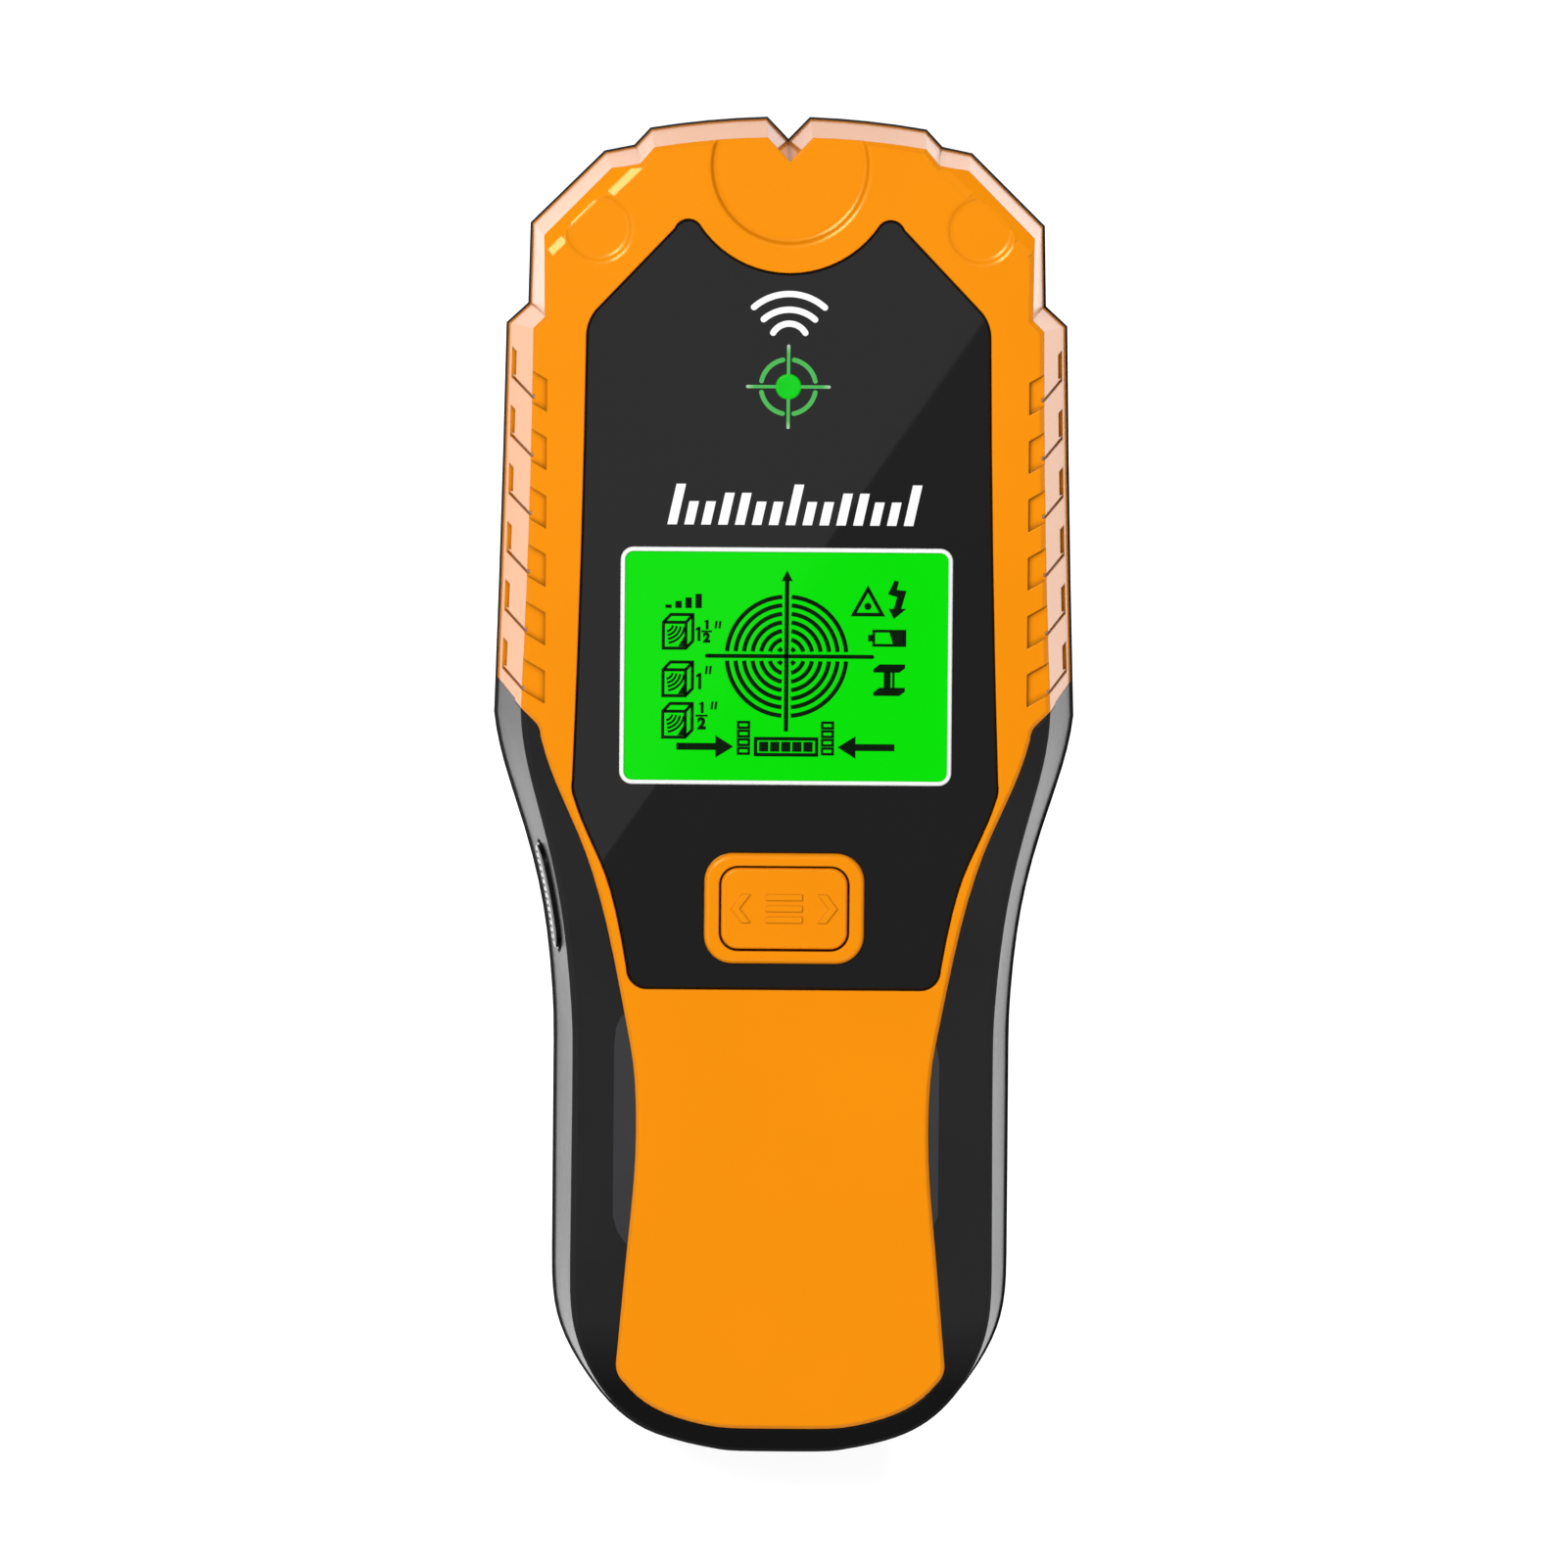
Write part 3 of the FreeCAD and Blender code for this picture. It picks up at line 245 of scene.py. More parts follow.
def winding_material():
    """Copper with the fine turns of a coil across it."""
    material, nodes, links = new_material("copper")
    shader = nodes["Principled BSDF"]
    coords = nodes.new("ShaderNodeTexCoord").outputs["Object"]
    turns = nodes.new("ShaderNodeTexWave")
    turns.inputs["Scale"].default_value = 900.0
    turns.inputs["Distortion"].default_value = 0.4
    links.new(coords, turns.inputs["Vector"])
    tone = blend_colours(nodes, links, turns.outputs["Fac"], (0.5, 0.22, 0.11), (0.86, 0.45, 0.26))
    links.new(tone, shader.inputs["Base Color"])
    height = nodes.new("ShaderNodeBump")
    height.inputs["Distance"].default_value = 0.05 * MM
    links.new(turns.outputs["Fac"], height.inputs["Height"])
    links.new(height.outputs["Normal"], shader.inputs["Normal"])
    links.new(remap(nodes, links, turns.outputs["Fac"], 0.25, 0.4), shader.inputs["Roughness"])
    shader.inputs["Metallic"].default_value = 1.0
    return material


def rubber_material():
    """Satin rubber with a painted highlight on its edges, and painted shade, a deeper black, round
    the lower end of the handle.
    """
    material = moulded("black_rubber", RUBBER, 0.24, vary=0.12, edge=0.4, wear_and_highlight=0.3,
                       wear_and_highlight_tint=RUBBER_EDGE_HIGHLIGHT, bump=0.008, grain=1600.0, specular=0.045,
                       spread=0.03)
    nodes, links = material.node_tree.nodes, material.node_tree.links
    shader = nodes["Principled BSDF"]
    parts = nodes.new("ShaderNodeSeparateXYZ")
    links.new(nodes.new("ShaderNodeTexCoord").outputs["Object"], parts.inputs["Vector"])
    # painted shade, fading out away from the handle's lower end
    start, stop = (GRIP_END + reach for reach in END_SHADE_REACH)
    away = remap(nodes, links, parts.outputs["Y"], 0.0, 1.0, start, stop)
    tone = shader.inputs["Base Color"].links[0].from_socket
    links.new(blend_colours(nodes, links, away, RUBBER_END_SHADE, tone), shader.inputs["Base Color"])
    return material


def button_material():
    """Side button: a pale, worn pad with fine ribs, and painted shade, black, above it where it
    meets the wall.
    """
    material = moulded("grey_button", BUTTON_PAD, 0.35, vary=0.35, patch=1600.0, bump=0.15,
                       grain=1500.0)
    nodes, links = material.node_tree.nodes, material.node_tree.links
    shader = nodes["Principled BSDF"]
    coords = nodes.new("ShaderNodeTexCoord").outputs["Object"]
    parts = nodes.new("ShaderNodeSeparateXYZ")
    links.new(coords, parts.inputs["Vector"])
    # painted shade above the button's middle
    start, stop = (BUTTON_MIDDLE[2] + rise for rise in BUTTON_RISE)
    black = remap(nodes, links, parts.outputs["Z"], 0.0, 1.0, start, stop)
    worn = shader.inputs["Base Color"].links[0].from_socket
    links.new(blend_colours(nodes, links, black, worn, BUTTON_TOP_SHADE), shader.inputs["Base Color"])
    shader.inputs["Specular IOR Level"].default_value = 0.04
    return material


def target_material():
    """Green print whose colour pales towards the tips of the cross."""
    material, nodes, links = new_material("target_print")
    shader = nodes["Principled BSDF"]
    coords = nodes.new("ShaderNodeTexCoord").outputs["Object"]
    away = nodes.new("ShaderNodeVectorMath")
    away.operation = "DISTANCE"
    links.new(coords, away.inputs[0])
    away.inputs[1].default_value = (TARGET_MIDDLE[0], TARGET_MIDDLE[1], PANEL_TOP)
    tips = remap(nodes, links, away.outputs["Value"], 0.0, 1.0, *TIPS_REACH)
    tone = blend_colours(nodes, links, tips, TARGET_GREEN, TARGET_TIPS)
    links.new(tone, shader.inputs["Base Color"])
    speckle = noise(nodes, links, coords, 3000.0)
    links.new(remap(nodes, links, speckle, 0.35, 0.5), shader.inputs["Roughness"])
    shader.inputs["Specular IOR Level"].default_value = 0.12
    return material


def make_materials():
    """One material for each material slot of the record."""
    return {
        # the orange shell has painted shade in its grooves and hollows
        "orange_shell": moulded("orange_shell", ORANGE, 0.16, vary=0.02, edge=0.25, specular=0.17,
                                bump=0.003, spread=0.02, glint=GLINT, painted_groove_shade=0.8),
        "orange_key": moulded("orange_key", ORANGE, 0.18, vary=0.02, edge=0.25, specular=0.17,
                              bump=0.003, spread=0.02, glint=GLINT),
        "black_rubber": rubber_material(),
        "black_shell": moulded("black_shell", (0.006, 0.006, 0.0065), 0.48, vary=0.1, edge=0.1,
                               bump=0.08, grain=1100.0, spread=0.08, specular=0.15),
        "felt": moulded("felt", (0.03, 0.03, 0.032), 0.95, vary=0.3, patch=900.0, bump=0.25,
                        grain=2600.0, sheen=0.6, spread=0.03),
        "gloss_panel": moulded("gloss_panel", (0.003, 0.003, 0.003), 0.012, vary=0.1, bump=0.0001,
                               spread=0.003, patch=18.0),
        "white_frame": moulded("white_frame", (0.66, 0.67, 0.66), 0.3, vary=0.02, edge=0.15),
        "green_display": display_material(),
        "clear_guide": moulded("clear_guide", (0.8, 0.84, 0.81), 0.25, vary=0.03),
        "strip_rubber": moulded("strip_rubber", (0.7, 0.66, 0.62), 0.7, vary=0.2, patch=1500.0),
        "green_light": moulded("green_light", (0.004, 0.3, 0.008), 0.2, vary=0.08, patch=400.0,
                               glow=(0.005, 0.6, 0.01), glow_strength=0.36, edge=0.1,
                               specular=0.1),
        "switch_plunger": moulded("switch_plunger", (0.03, 0.03, 0.03), 0.5, vary=0.15),
        "switch_metal": moulded("switch_metal", (0.6, 0.6, 0.61), 0.35, metallic=1.0, patch=500.0),
        "grey_button": button_material(),
        "circuit_board": circuit_material(),
        "copper": winding_material(),
        "nylon": moulded("nylon", (0.75, 0.74, 0.69), 0.45, vary=0.04),
        "steel": moulded("steel", (0.6, 0.6, 0.61), 0.32, metallic=1.0, patch=400.0, edge=0.15,
                         wear_and_highlight=0.5, wear_and_highlight_tint=(0.8, 0.8, 0.8)),
        "pin_metal": moulded("pin_metal", (0.72, 0.58, 0.3), 0.3, metallic=1.0, patch=500.0),
        "ferrite": moulded("ferrite", (0.06, 0.055, 0.055), 0.7, vary=0.2, patch=900.0, bump=0.2),
        "chip_black": moulded("chip_black", (0.02, 0.02, 0.021), 0.55, vary=0.15, bump=0.1),
        "can_metal": moulded("can_metal", (0.7, 0.7, 0.71), 0.28, metallic=1.0, patch=300.0),
        "battery_case": moulded("battery_case", (0.06, 0.07, 0.09), 0.3, vary=0.08, coat=0.4),
        "foam": moulded("foam", (0.07, 0.07, 0.073), 0.95, vary=0.4, patch=1400.0, bump=0.5,
                        grain=900.0, spread=0.03),
        "red_wire": moulded("red_wire", (0.5, 0.02, 0.015), 0.4, vary=0.06),
        "black_wire": moulded("black_wire", (0.015, 0.015, 0.016), 0.4, vary=0.1),
    }


def paint_nodes(made):
    for part in frame["record"]["subparts"]:
        piece = frame["nodes"][part["node"]]
        for holder in piece.material_slots:
            holder.material = made[part["material_slot"]]


# ================================================================ printed shapes
def shifted(points, distance, closed):
    """The points moved to the left of their path by distance, with mitred corners."""
    count = len(points)
    moved = []
    for i, point in enumerate(points):
        here = Vector(point)
        sides = []
        if closed or i > 0:
            sides.append(here - Vector(points[i - 1]))
        if closed or i < count - 1:
            sides.append(Vector(points[(i + 1) % count]) - here)
        normals = [Vector((-s.y, s.x)).normalized() for s in sides]
        middle = sum(normals, Vector((0, 0))).normalized()
        moved.append(here + middle * (distance / middle.dot(normals[0])))
    return moved


def arc_points(x, y, radius, start, end, steps=24):
    """Points on a circle, angles in degrees anticlockwise from +X."""
    angles = [math.radians(start + (end - start) * i / steps) for i in range(steps + 1)]
    return [(x + radius * math.cos(a), y + radius * math.sin(a)) for a in angles]


class Ink:
    """Flat printed shapes in millimetres about a middle point, made into one thin solid mesh."""

    DEPTH = 0.03
    SUNK = 0.01

    def __init__(self, middle, top):
        self.mesh = bmesh.new()
        self.middle = middle
        self.top = top

    def ring_of_points(self, points, z):
        place = [(self.middle[0] + x * MM, self.middle[1] + y * MM, z) for x, y in points]
        return [self.mesh.verts.new(p) for p in place]

    def levels(self):
        return self.top - self.SUNK * MM, self.top + self.DEPTH * MM

    def fill(self, points):
        """A filled outline, given either way round."""
        twice_area = sum(a[0] * b[1] - b[0] * a[1] for a, b in zip(points, points[1:] + points[:1]))
        if twice_area < 0:
            points = points[::-1]
        low, high = self.levels()
        bottom = self.ring_of_points(points, low)
        top = self.ring_of_points(points, high)
        self.mesh.faces.new(top)
        self.mesh.faces.new(bottom[::-1])
        for i in range(len(points)):
            j = (i + 1) % len(points)
            self.mesh.faces.new((bottom[i], bottom[j], top[j], top[i]))

    def stroke(self, points, width, round_ends=False):
        left = shifted(points, width / 2, False)
        right = shifted(points, -width / 2, False)[::-1]
        if not round_ends:
            self.fill(left + right)
            return
        caps = []
        for inner, outer in ((points[-2], points[-1]), (points[1], points[0])):
            along = math.degrees(math.atan2(outer[1] - inner[1], outer[0] - inner[0]))
            caps.append(arc_points(outer[0], outer[1], width / 2, along + 90, along - 90, 8)[1:-1])
        self.fill(left + caps[0] + right + caps[1])

    def band(self, points, width):
        """A closed line of that width, with a hole in the middle."""
        low, high = self.levels()
        outer = shifted(points, -width / 2, True)
        inner = shifted(points, width / 2, True)
        rings = [self.ring_of_points(loop, z) for loop, z in
                 ((outer, low), (outer, high), (inner, high), (inner, low))]
        for k in range(4):
            first, second = rings[k], rings[(k + 1) % 4]
            for i in range(len(points)):
                j = (i + 1) % len(points)
                self.mesh.faces.new((first[i], first[j], second[j], second[i]))

    def one(self, x, y, height):
        """The numeral 1 with its flag, the middle of its upright at x, y."""
        half, flag = 0.17, 0.13 * height
        low, top = y - height / 2, y + height / 2
        self.fill([(x - half, low), (x + half, low), (x + half, top), (x - half / 2, top),
                   (x - half - flag, top - flag), (x - half - flag, top - 2.2 * flag),
                   (x - half, top - 1.6 * flag)])

    def make(self, name, material):
        for face in self.mesh.faces:
            face.normal_update()
        faces = [f for f in self.mesh.faces if len(f.verts) > 4]
        bmesh.ops.triangulate(self.mesh, faces=faces, ngon_method="EAR_CLIP")
        bmesh.ops.recalc_face_normals(self.mesh, faces=self.mesh.faces)
        data = bpy.data.meshes.new(name)
        self.mesh.to_mesh(data)
        self.mesh.free()
        piece = bpy.data.objects.new(name, data)
        bpy.context.scene.collection.objects.link(piece)
        data.materials.append(material)
        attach(piece, HOUSING)
        return piece


def box_points(x0, y0, x1, y1):
    return [(x0, y0), (x1, y0), (x1, y1), (x0, y1)]


def draw_signal_arcs(ink):
    """Three arcs, each given by its top, its radius and half its chord."""
    middle, width = 0.05, 0.72
    for top, radius, half_chord in ((10.73, 6.2, 4.1), (8.91, 4.48, 2.97), (7.3, 2.16, 1.86)):
        lean = math.degrees(math.asin(half_chord / radius))
        arc = arc_points(middle, top - radius, radius, 90 + lean, 90 - lean, 32)
        ink.stroke(arc, width, True)


def draw_scale(ink):
    """Slanted bars, tall at the ends and the middle and half tall between them."""
    count, half, slant = 15, 0.55, 0.22
    start, end, low = -13.3, 14.0, -16.0
    heights = (4.7, 2.7, 2.7, 3.7, 3.7, 2.7, 2.7)
    for i in range(count):
        x = start + (end - start) * i / (count - 1)
        tall = heights[i % len(heights)]
        lean = slant * tall
        ink.fill([(x - half, low), (x + half, low), (x + half + lean, low + tall),
                  (x - half + lean, low + tall)])


def print_panel(material):
    """The signal arcs over the target, and the slanted scale over the display."""
    ink = Ink((0.0, TARGET_MIDDLE[1]), PANEL_TOP)
    draw_signal_arcs(ink)
    draw_scale(ink)
    ink.make("panel_print", material)


def print_target(material):
    """A ring in four quarters, and the four arms of a cross, round the target light."""
    ink = Ink((0.0, TARGET_MIDDLE[1]), PANEL_TOP)
    radius, width, gap = 3.17, 0.54, 0.65
    lean = math.degrees(math.asin(gap / radius))
    for quarter in range(4):
        start = 90 * quarter + lean
        ink.stroke(arc_points(0, 0, radius, start, 90 * (quarter + 1) - lean, 20), width, True)
    inner, outer, arm_width = 1.5, 4.7, 0.38
    for quarter in range(4):
        turn = math.radians(90 * quarter)
        ends = [(r * math.cos(turn), r * math.sin(turn)) for r in (inner, outer)]
        ink.stroke(ends, arm_width, True)
    ink.make("target_print", material)


def grip_waist_highlight_films(material):
    """Smooth, lighter films let into the grip on each side of the plateau's waist: a painted
    highlight along the grip's inner side.
    """
    ink = Ink((0.0, 0.0), GRIP_TOP)
    ink.fill([(-19.5, -29.5), (-19.3, -27.5), (-18.8, -26.2), (-17.8, -25.4), (-16.4, -25.4),
              (-16.4, -53.6), (-17.6, -53.0), (-19.0, -51.0), (-19.5, -49.2)])
    ink.fill([(18.1, -31.0), (17.8, -29.4), (16.4, -28.8), (16.4, -51.5), (17.2, -51.2),
              (18.1, -49.0)])
    ink.make("grip_waist_highlight_films", material)


def draw_wood_block(ink, x, y):
    """Small wood block seen at an angle, with end grain on its front; x, y is its lower left."""
    edge = 0.36
    hexagon = [(0, 0), (2.6, 0), (3.4, 0.85), (3.4, 3.9), (0.85, 3.9), (0, 3.0)]
    ink.band([(x + u, y + v) for u, v in hexagon], edge)
    ink.stroke([(x + 0.14, y + 3.0), (x + 2.6, y + 3.0), (x + 2.6, y + 0.14)], edge)
    ink.stroke([(x + 2.68, y + 3.08), (x + 3.3, y + 3.8)], edge)
    for radius in (0.8, 1.25, 1.7, 2.15):
        ink.stroke(arc_points(x + 0.3, y + 2.75, radius, -82, -8, 12), 0.25)
    ink.fill([(x + 2.5, y + 0.2), (x + 2.5, y + 1.5), (x + 1.7, y + 0.2)])


def draw_rings(ink):
    """Rings in quarters, crossed by two lines, the upright one with an arrowhead."""
    cx, cy = 0.05, 1.15
    gap, width = 0.54, 0.5
    for radius in (6.9, 5.92, 4.94, 3.96, 2.98, 2.0, 1.05):
        lean = math.degrees(math.asin(gap / radius))
        for quarter in range(4):
            start, end = 90 * quarter + lean, 90 * (quarter + 1) - lean
            ink.stroke(arc_points(cx, cy, radius, start, end, 16), width)
    ink.stroke([(cx - 9.2, cy), (cx + 9.9, cy)], 0.46, True)
    ink.stroke([(cx, cy - 8.7), (cx, cy + 8.8)], width)
    ink.fill([(cx - 0.65, cy + 8.7), (cx + 0.65, cy + 8.7), (cx, cy + 9.95)])


def draw_rising_bars(ink):
    left, low, pitch, width = -14.0, 6.65, 1.16, 0.74
    for i in range(4):
        x = left + pitch * i
        ink.fill(box_points(x, low, x + width, low + 0.4 + 0.42 * i))


def draw_triangle(ink):
    ink.band([(7.75, 6.05), (11.05, 6.05), (9.4, 9.0)], 0.42)
    ink.fill(arc_points(9.4, 7.0, 0.42, 0, 360, 16)[:-1])


def draw_bolt(ink):
    ink.fill([(12.45, 10.0), (12.97, 9.9), (12.73, 8.92), (13.85, 8.82), (13.25, 6.74),
              (13.85, 6.74), (12.4, 5.55), (11.8, 6.74), (12.4, 6.74), (12.75, 8.1),
              (11.7, 8.42)])


def draw_battery(ink):
    ink.band(box_points(10.1, 2.5, 13.7, 4.15), 0.32)
    ink.fill([(12.3, 2.66), (13.6, 2.66), (13.6, 4.0), (11.9, 4.0)])
    ink.fill(box_points(9.45, 2.95, 9.95, 3.7))


def draw_beam(ink):
    """Steel beam seen at an angle: two flanges and the web between them."""
    for y in (-3.35, -0.65):
        ink.fill([(10.1, y), (13.1, y), (13.75, y + 0.5), (13.75, y + 0.95), (10.8, y + 0.95),
                  (10.1, y + 0.4)])
    for left, right in ((11.3, 12.1), (12.28, 12.55)):
        ink.fill(box_points(left, -2.45, right, -0.6))


def draw_arrows(ink):
    """On each side, an arrow that points inwards at a stack of four small boxes."""
    for side in (-1, 1):
        tip, neck, tail = 6.02 * side, 8.1 * side, 12.6 * side
        ink.fill([(tip, -9.35), (neck, -8.05), (neck, -8.95), (tail, -8.95), (tail, -9.75),
                  (neck, -9.75), (neck, -10.65)])
        width, height = 1.24, 0.65
        left = 4.85 * side - width / 2
        for i in range(4):
            low = -10.15 + i
            ink.band(box_points(left, low, left + width, low + height), 0.3)


def draw_indicator(ink):
    """A framed row of five bars."""
    ink.band(box_points(-3.45, -10.25, 3.6, -8.4), 0.4)
    for i in range(5):
        x = -3.05 + 1.28 * i
        ink.fill(box_points(x, -9.9, x + 1.08, -8.75))


def draw_depths(ink):
    """Inch marks, the numeral 1 where it stands, and the bars of the two fractions."""
    for x, y, height in ((-7.9, 4.75, 0.85), (-8.97, -0.5, 0.95), (-8.3, -4.6, 0.9)):
        for step in (-0.22, 0.22):
            ends = [(x + step + part * 0.06, y + part * height / 2) for part in (-1, 1)]
            ink.stroke(ends, 0.26)
    for x, y, height in ((-10.08, 3.68, 1.65), (-9.15, 4.75, 1.1), (-9.95, -1.8, 1.9),
                         (-9.65, -4.85, 1.3)):
        ink.one(x, y, height)
    ink.fill(box_points(-9.82, 3.87, -8.58, 4.07))
    ink.fill(box_points(-10.4, -5.9, -9.0, -5.68))


def print_display(material):
    """The display's marks, in millimetres from its middle."""
    ink = Ink(GLASS_MIDDLE, GLASS_TOP)
    draw_rings(ink)
    draw_rising_bars(ink)
    for y in (2.0, -3.5, -8.3):
        draw_wood_block(ink, -14.2, y)
    draw_triangle(ink)
    draw_bolt(ink)
    draw_battery(ink)
    draw_beam(ink)
    draw_arrows(ink)
    draw_indicator(ink)
    draw_depths(ink)
    ink.make("display_marks", material)


DIGIT_SIZE = 1.38          # font size over the height of its digits
DIGIT_BOLD = 0.11 * MM     # how far its outline is moved outwards
DIGIT_HALF_DEPTH = 0.02 * MM


def print_numeral(name, text, x, y, height, material):
    """One digit, its middle at x, y in millimetres from the middle of the display."""
    letters = bpy.data.curves.new(name, "FONT")
    letters.body = text
    letters.align_x = "CENTER"
    letters.align_y = "CENTER"
    letters.size = height * DIGIT_SIZE * MM
    letters.offset = DIGIT_BOLD
    letters.extrude = DIGIT_HALF_DEPTH
    letters.resolution_u = 6
    source = bpy.data.objects.new(name + "_outline", letters)
    bpy.context.scene.collection.objects.link(source)
    bpy.context.view_layer.update()
    data = bpy.data.meshes.new_from_object(source)
    bpy.data.objects.remove(source)
    lift = GLASS_TOP + DIGIT_HALF_DEPTH / 2
    data.transform(Matrix.Translation((GLASS_MIDDLE[0] + x * MM, GLASS_MIDDLE[1] + y * MM, lift)))
    piece = bpy.data.objects.new(name, data)
    bpy.context.scene.collection.objects.link(piece)
    data.materials.clear()
    data.materials.append(material)
    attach(piece, HOUSING)


def print_numerals(material):
    """The 2 under the bar of each fraction."""
    print_numeral("numeral_under_a", "2", -9.2, 3.2, 1.05, material)
    print_numeral("numeral_under_c", "2", -9.7, -6.75, 1.3, material)


# ================================================================ floor, lights and camera
FLOOR_TONES = ((0.24, 0.24, 0.24), (0.26, 0.26, 0.26))
FLOOR_GLOW = (0.84, 1.25)  # in line with the object's ends, and beside it
GLOW_REACH = (12 * MM, 32 * MM)            # from the object's middle line, along X
FLOOR_HALF = 3.0


def make_floor():
    """Pale floor, lit a little from within as a light table is, more so beside the object."""
    material, nodes, links = new_material("floor")
    shader = nodes["Principled BSDF"]
    coords = nodes.new("ShaderNodeTexCoord").outputs["Object"]
    cloud = noise(nodes, links, coords, 3.0)
    tone = blend_colours(nodes, links, cloud, *FLOOR_TONES)
    links.new(tone, shader.inputs["Base Color"])
    links.new(remap(nodes, links, cloud, 0.6, 0.75), shader.inputs["Roughness"])
    shader.inputs["Specular IOR Level"].default_value = 0.1
    shader.inputs["Emission Color"].default_value = (1.0, 1.0, 1.0, 1.0)
    parts = nodes.new("ShaderNodeSeparateXYZ")
    links.new(coords, parts.inputs["Vector"])
    beside = nodes.new("ShaderNodeMath")
    beside.operation = "ABSOLUTE"
    links.new(parts.outputs["X"], beside.inputs[0])
    glow = remap(nodes, links, beside.outputs["Value"], *FLOOR_GLOW, *GLOW_REACH)
    links.new(glow, shader.inputs["Emission Strength"])
    mesh = bmesh.new()
    bmesh.ops.create_grid(mesh, x_segments=4, y_segments=4, size=FLOOR_HALF)
    data = bpy.data.meshes.new("floor")
    mesh.to_mesh(data)
    mesh.free()
    data.materials.append(material)
    floor = bpy.data.objects.new("floor", data)
    bpy.context.scene.collection.objects.link(floor)


def area_light(name, place, target, width, height, radiance):
    """A soft box that faces the target, and whose face sends out that radiance."""
    light = bpy.data.lights.new(name, "AREA")
    light.shape = "RECTANGLE"
    light.size = width
    light.size_y = height
    light.energy = radiance * math.pi * width * height
    holder = bpy.data.objects.new(name, light)
    aim = (Vector(target) - Vector(place)).to_track_quat("-Z", "Y").to_matrix().to_4x4()
    holder.matrix_world = Matrix.Translation(place) @ aim
    bpy.context.scene.collection.objects.link(holder)
    return holder


def make_world(radiance):
    """Even white light from all round."""
    world = bpy.data.worlds.new("studio")
    world.use_nodes = True
    world.node_tree.nodes["Background"].inputs["Color"].default_value = (1.0, 1.0, 1.0, 1.0)
    world.node_tree.nodes["Background"].inputs["Strength"].default_value = radiance
    bpy.context.scene.world = world


SENSOR_WIDTH = 36.0        # millimetres
CAMERA_AIM = (0.1 * MM, 0.0, PARTING_Z)
CAMERA_DISTANCE = 4.0
CAMERA_LEAN = 3.95         # degrees towards the notch end
CAMERA_SIDE = -0.9         # degrees to the left
CAMERA_ROLL = 0.48         # degrees, so that the notch end leans to the right
VIEW_WIDTH = 0.1818        # width of the picture at the height of PARTING_Z


def make_camera():
    """The photograph's view from nearly straight above. Gives back the camera's place."""
    target = Vector(CAMERA_AIM)
    away = Vector((math.tan(math.radians(CAMERA_SIDE)), math.tan(math.radians(CAMERA_LEAN)), 1.0))
    away.normalize()
    right = (-away).cross(Vector((0, 1, 0))).normalized()
    up = right.cross(-away)
    data = bpy.data.cameras.new("camera")
    data.sensor_width = SENSOR_WIDTH
    data.lens = data.sensor_width * CAMERA_DISTANCE / VIEW_WIDTH
    camera = bpy.data.objects.new("camera", data)
    turn = Matrix((right, up, away)).transposed().to_4x4()
    roll = Matrix.Rotation(math.radians(CAMERA_ROLL), 4, "Z")
    camera.matrix_world = Matrix.Translation(target + away * CAMERA_DISTANCE) @ turn @ roll
    bpy.context.scene.collection.objects.link(camera)
    bpy.context.scene.camera = camera
    return camera.matrix_world.translation.copy()


def mirrored_in_panel(point, eye, height):
    """Where the eye sees, by reflection at a point of the panel, a ceiling at that height."""
    rise = height / (eye.z - PANEL_TOP)
    return Vector((point[0] + (point[0] - eye.x) * rise, point[1] + (point[1] - eye.y) * rise,
                   PANEL_TOP + height))


CARD_SIZE = 0.5
CARD_HEIGHT = 0.6          # above the panel
CARD_RADIANCE = 0.34
CARD_EDGE = ((-21 * MM, -8 * MM), (22 * MM, 54 * MM))   # two points of the edge seen in the panel


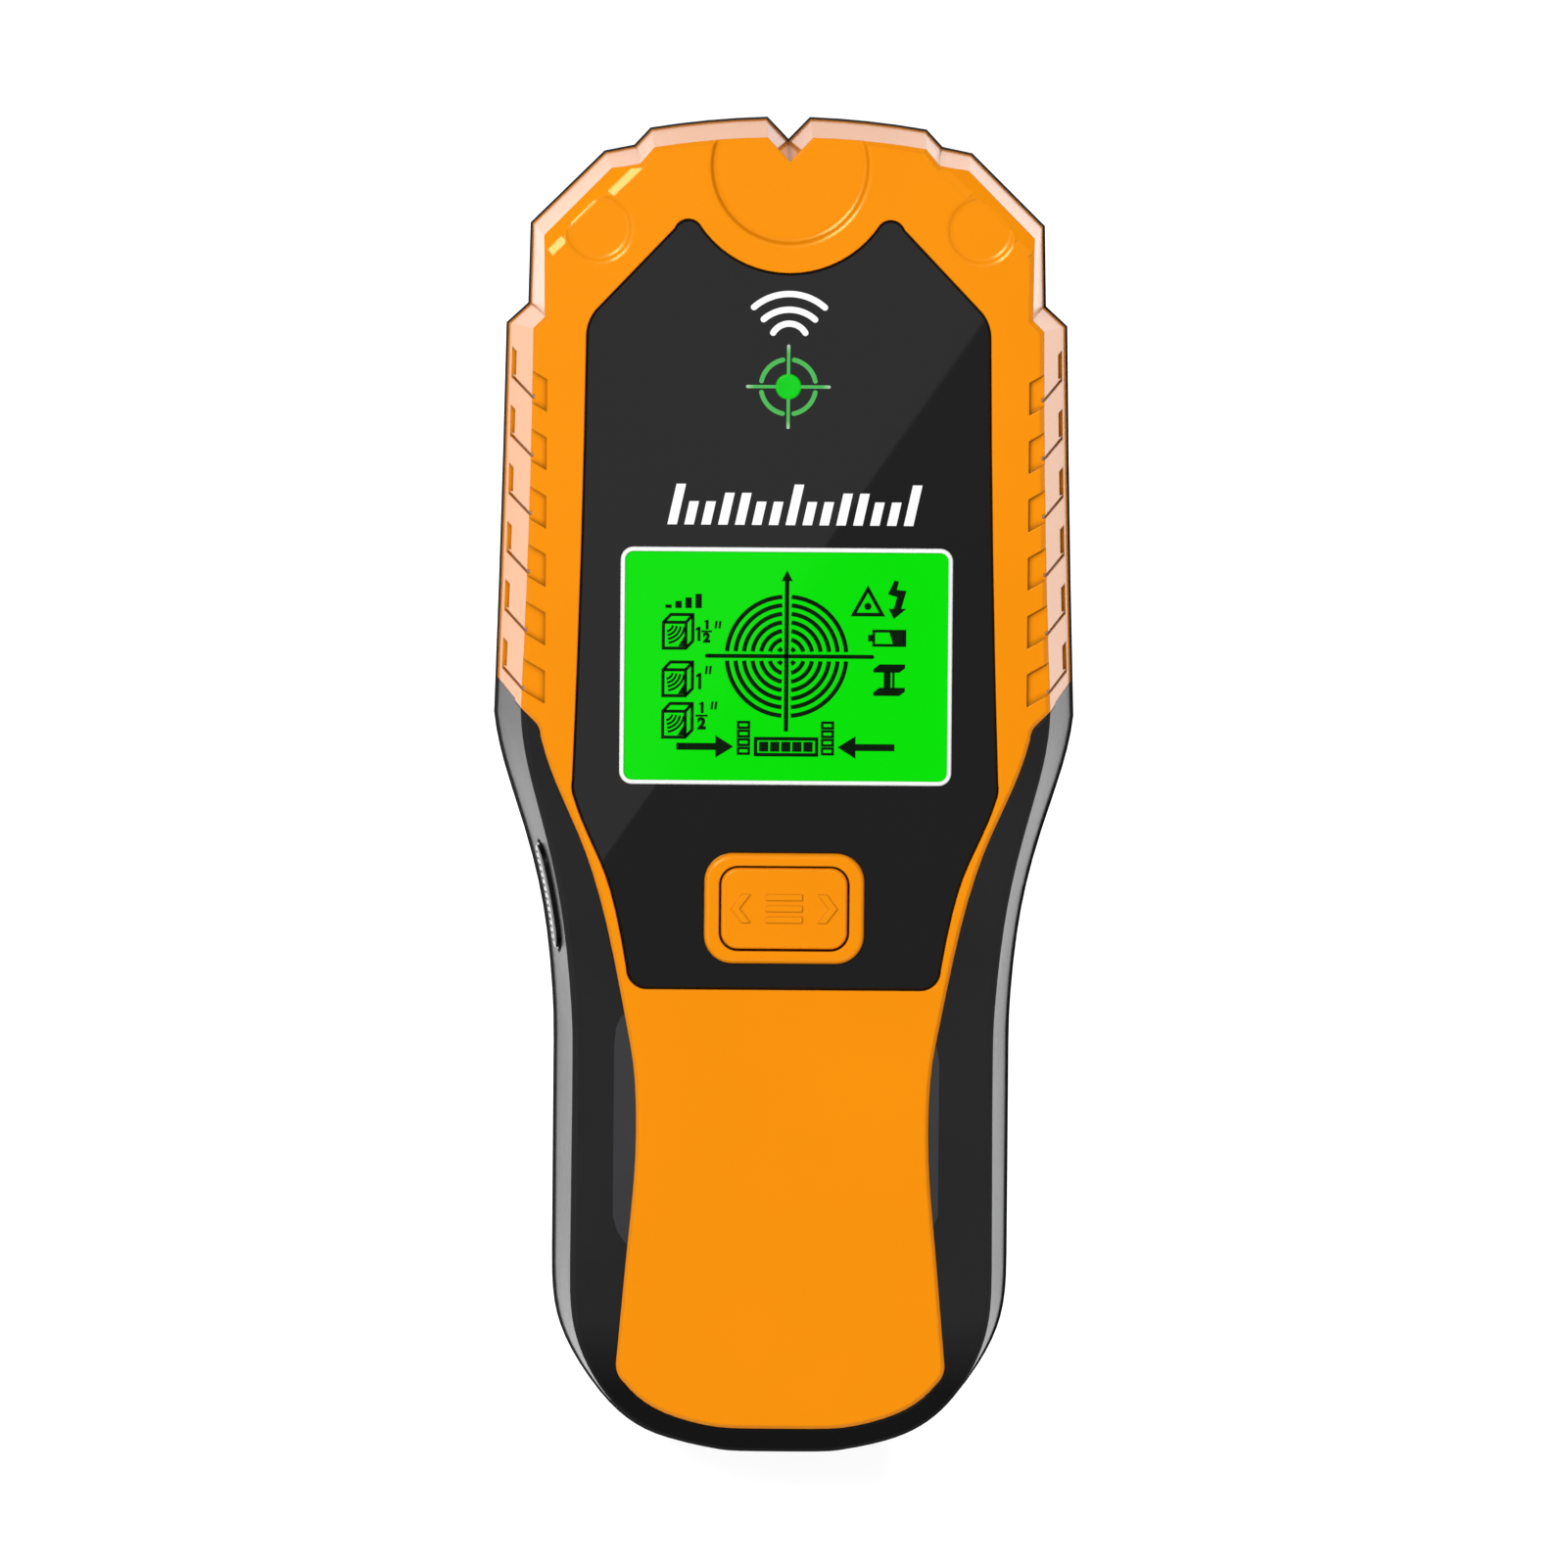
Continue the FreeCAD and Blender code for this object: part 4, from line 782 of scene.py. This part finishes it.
def make_gloss_card(eye):
    """A dim card overhead, whose straight edge is mirrored slantwise across the panel."""
    first, second = (mirrored_in_panel(point, eye, CARD_HEIGHT) for point in CARD_EDGE)
    along = (second - first).normalized()
    across = Vector((-along.y, along.x, 0.0))
    centre = (first + second) / 2 + across * CARD_SIZE / 2
    card = area_light("gloss_card", centre, (0, 0, 0), CARD_SIZE, CARD_SIZE, CARD_RADIANCE)
    turn = Matrix((along, across, (0.0, 0.0, 1.0))).transposed().to_4x4()
    card.matrix_world = Matrix.Translation(centre) @ turn


def round_place(azimuth, elevation, distance):
    """A place round the object: azimuth in degrees anticlockwise from +X, then elevation."""
    turn, lift = math.radians(azimuth), math.radians(elevation)
    flat = distance * math.cos(lift)
    return flat * math.cos(turn), flat * math.sin(turn), distance * math.sin(lift)


# A soft box is a name, an azimuth in degrees and a radiance. A place is an azimuth, an
# elevation and a distance.
WORLD_RADIANCE = 0.28
LIT_POINT = (0.0, 0.0, 0.02)               # where the soft boxes are aimed
SOFT_BOXES = (("left", 170, 2.2), ("right", 10, 0.8), ("top", 90, 1.3), ("low", 270, 1.6))
SOFT_ELEVATION = 58
SOFT_DISTANCE = 1.1
SOFT_SIZE = (0.8, 0.5)
SPARKLE_PLACE = (131, 71, 1.5)             # where the crown's facets and rims mirror it
SPARKLE_SIZE = (0.3, 0.3)
SPARKLE_RADIANCE = 52.0


def make_lights(eye):
    """Four soft boxes round the object, a small bright one for the glints, and the card."""
    make_world(WORLD_RADIANCE)
    for name, azimuth, radiance in SOFT_BOXES:
        place = round_place(azimuth, SOFT_ELEVATION, SOFT_DISTANCE)
        area_light("soft_" + name, place, LIT_POINT, *SOFT_SIZE, radiance)
    area_light("sparkle", round_place(*SPARKLE_PLACE), LIT_POINT, *SPARKLE_SIZE, SPARKLE_RADIANCE)
    make_gloss_card(eye)


# ================================================================ the scene
def build():
    """Materials, prints, floor, camera and lights round the frame's pieces."""
    bpy.context.scene.view_settings.view_transform = "Standard"
    made = make_materials()
    paint_nodes(made)
    dark = moulded("display_ink", (0.0005, 0.007, 0.0005), 0.3, vary=0.2, patch=600.0,
                   specular=0.04)
    white = moulded("white_ink", (0.68, 0.68, 0.68), 0.35, vary=0.03, patch=300.0)
    print_panel(white)
    print_target(target_material())
    print_display(dark)
    print_numerals(dark)
    # painted highlight: films lighter and glossier than the grip's rubber
    grip_waist_highlight_films(moulded("highlight_film_black", (0.026, 0.026, 0.028), 0.3, vary=0.08, specular=0.1))
    make_floor()
    eye = make_camera()
    make_lights(eye)


build()
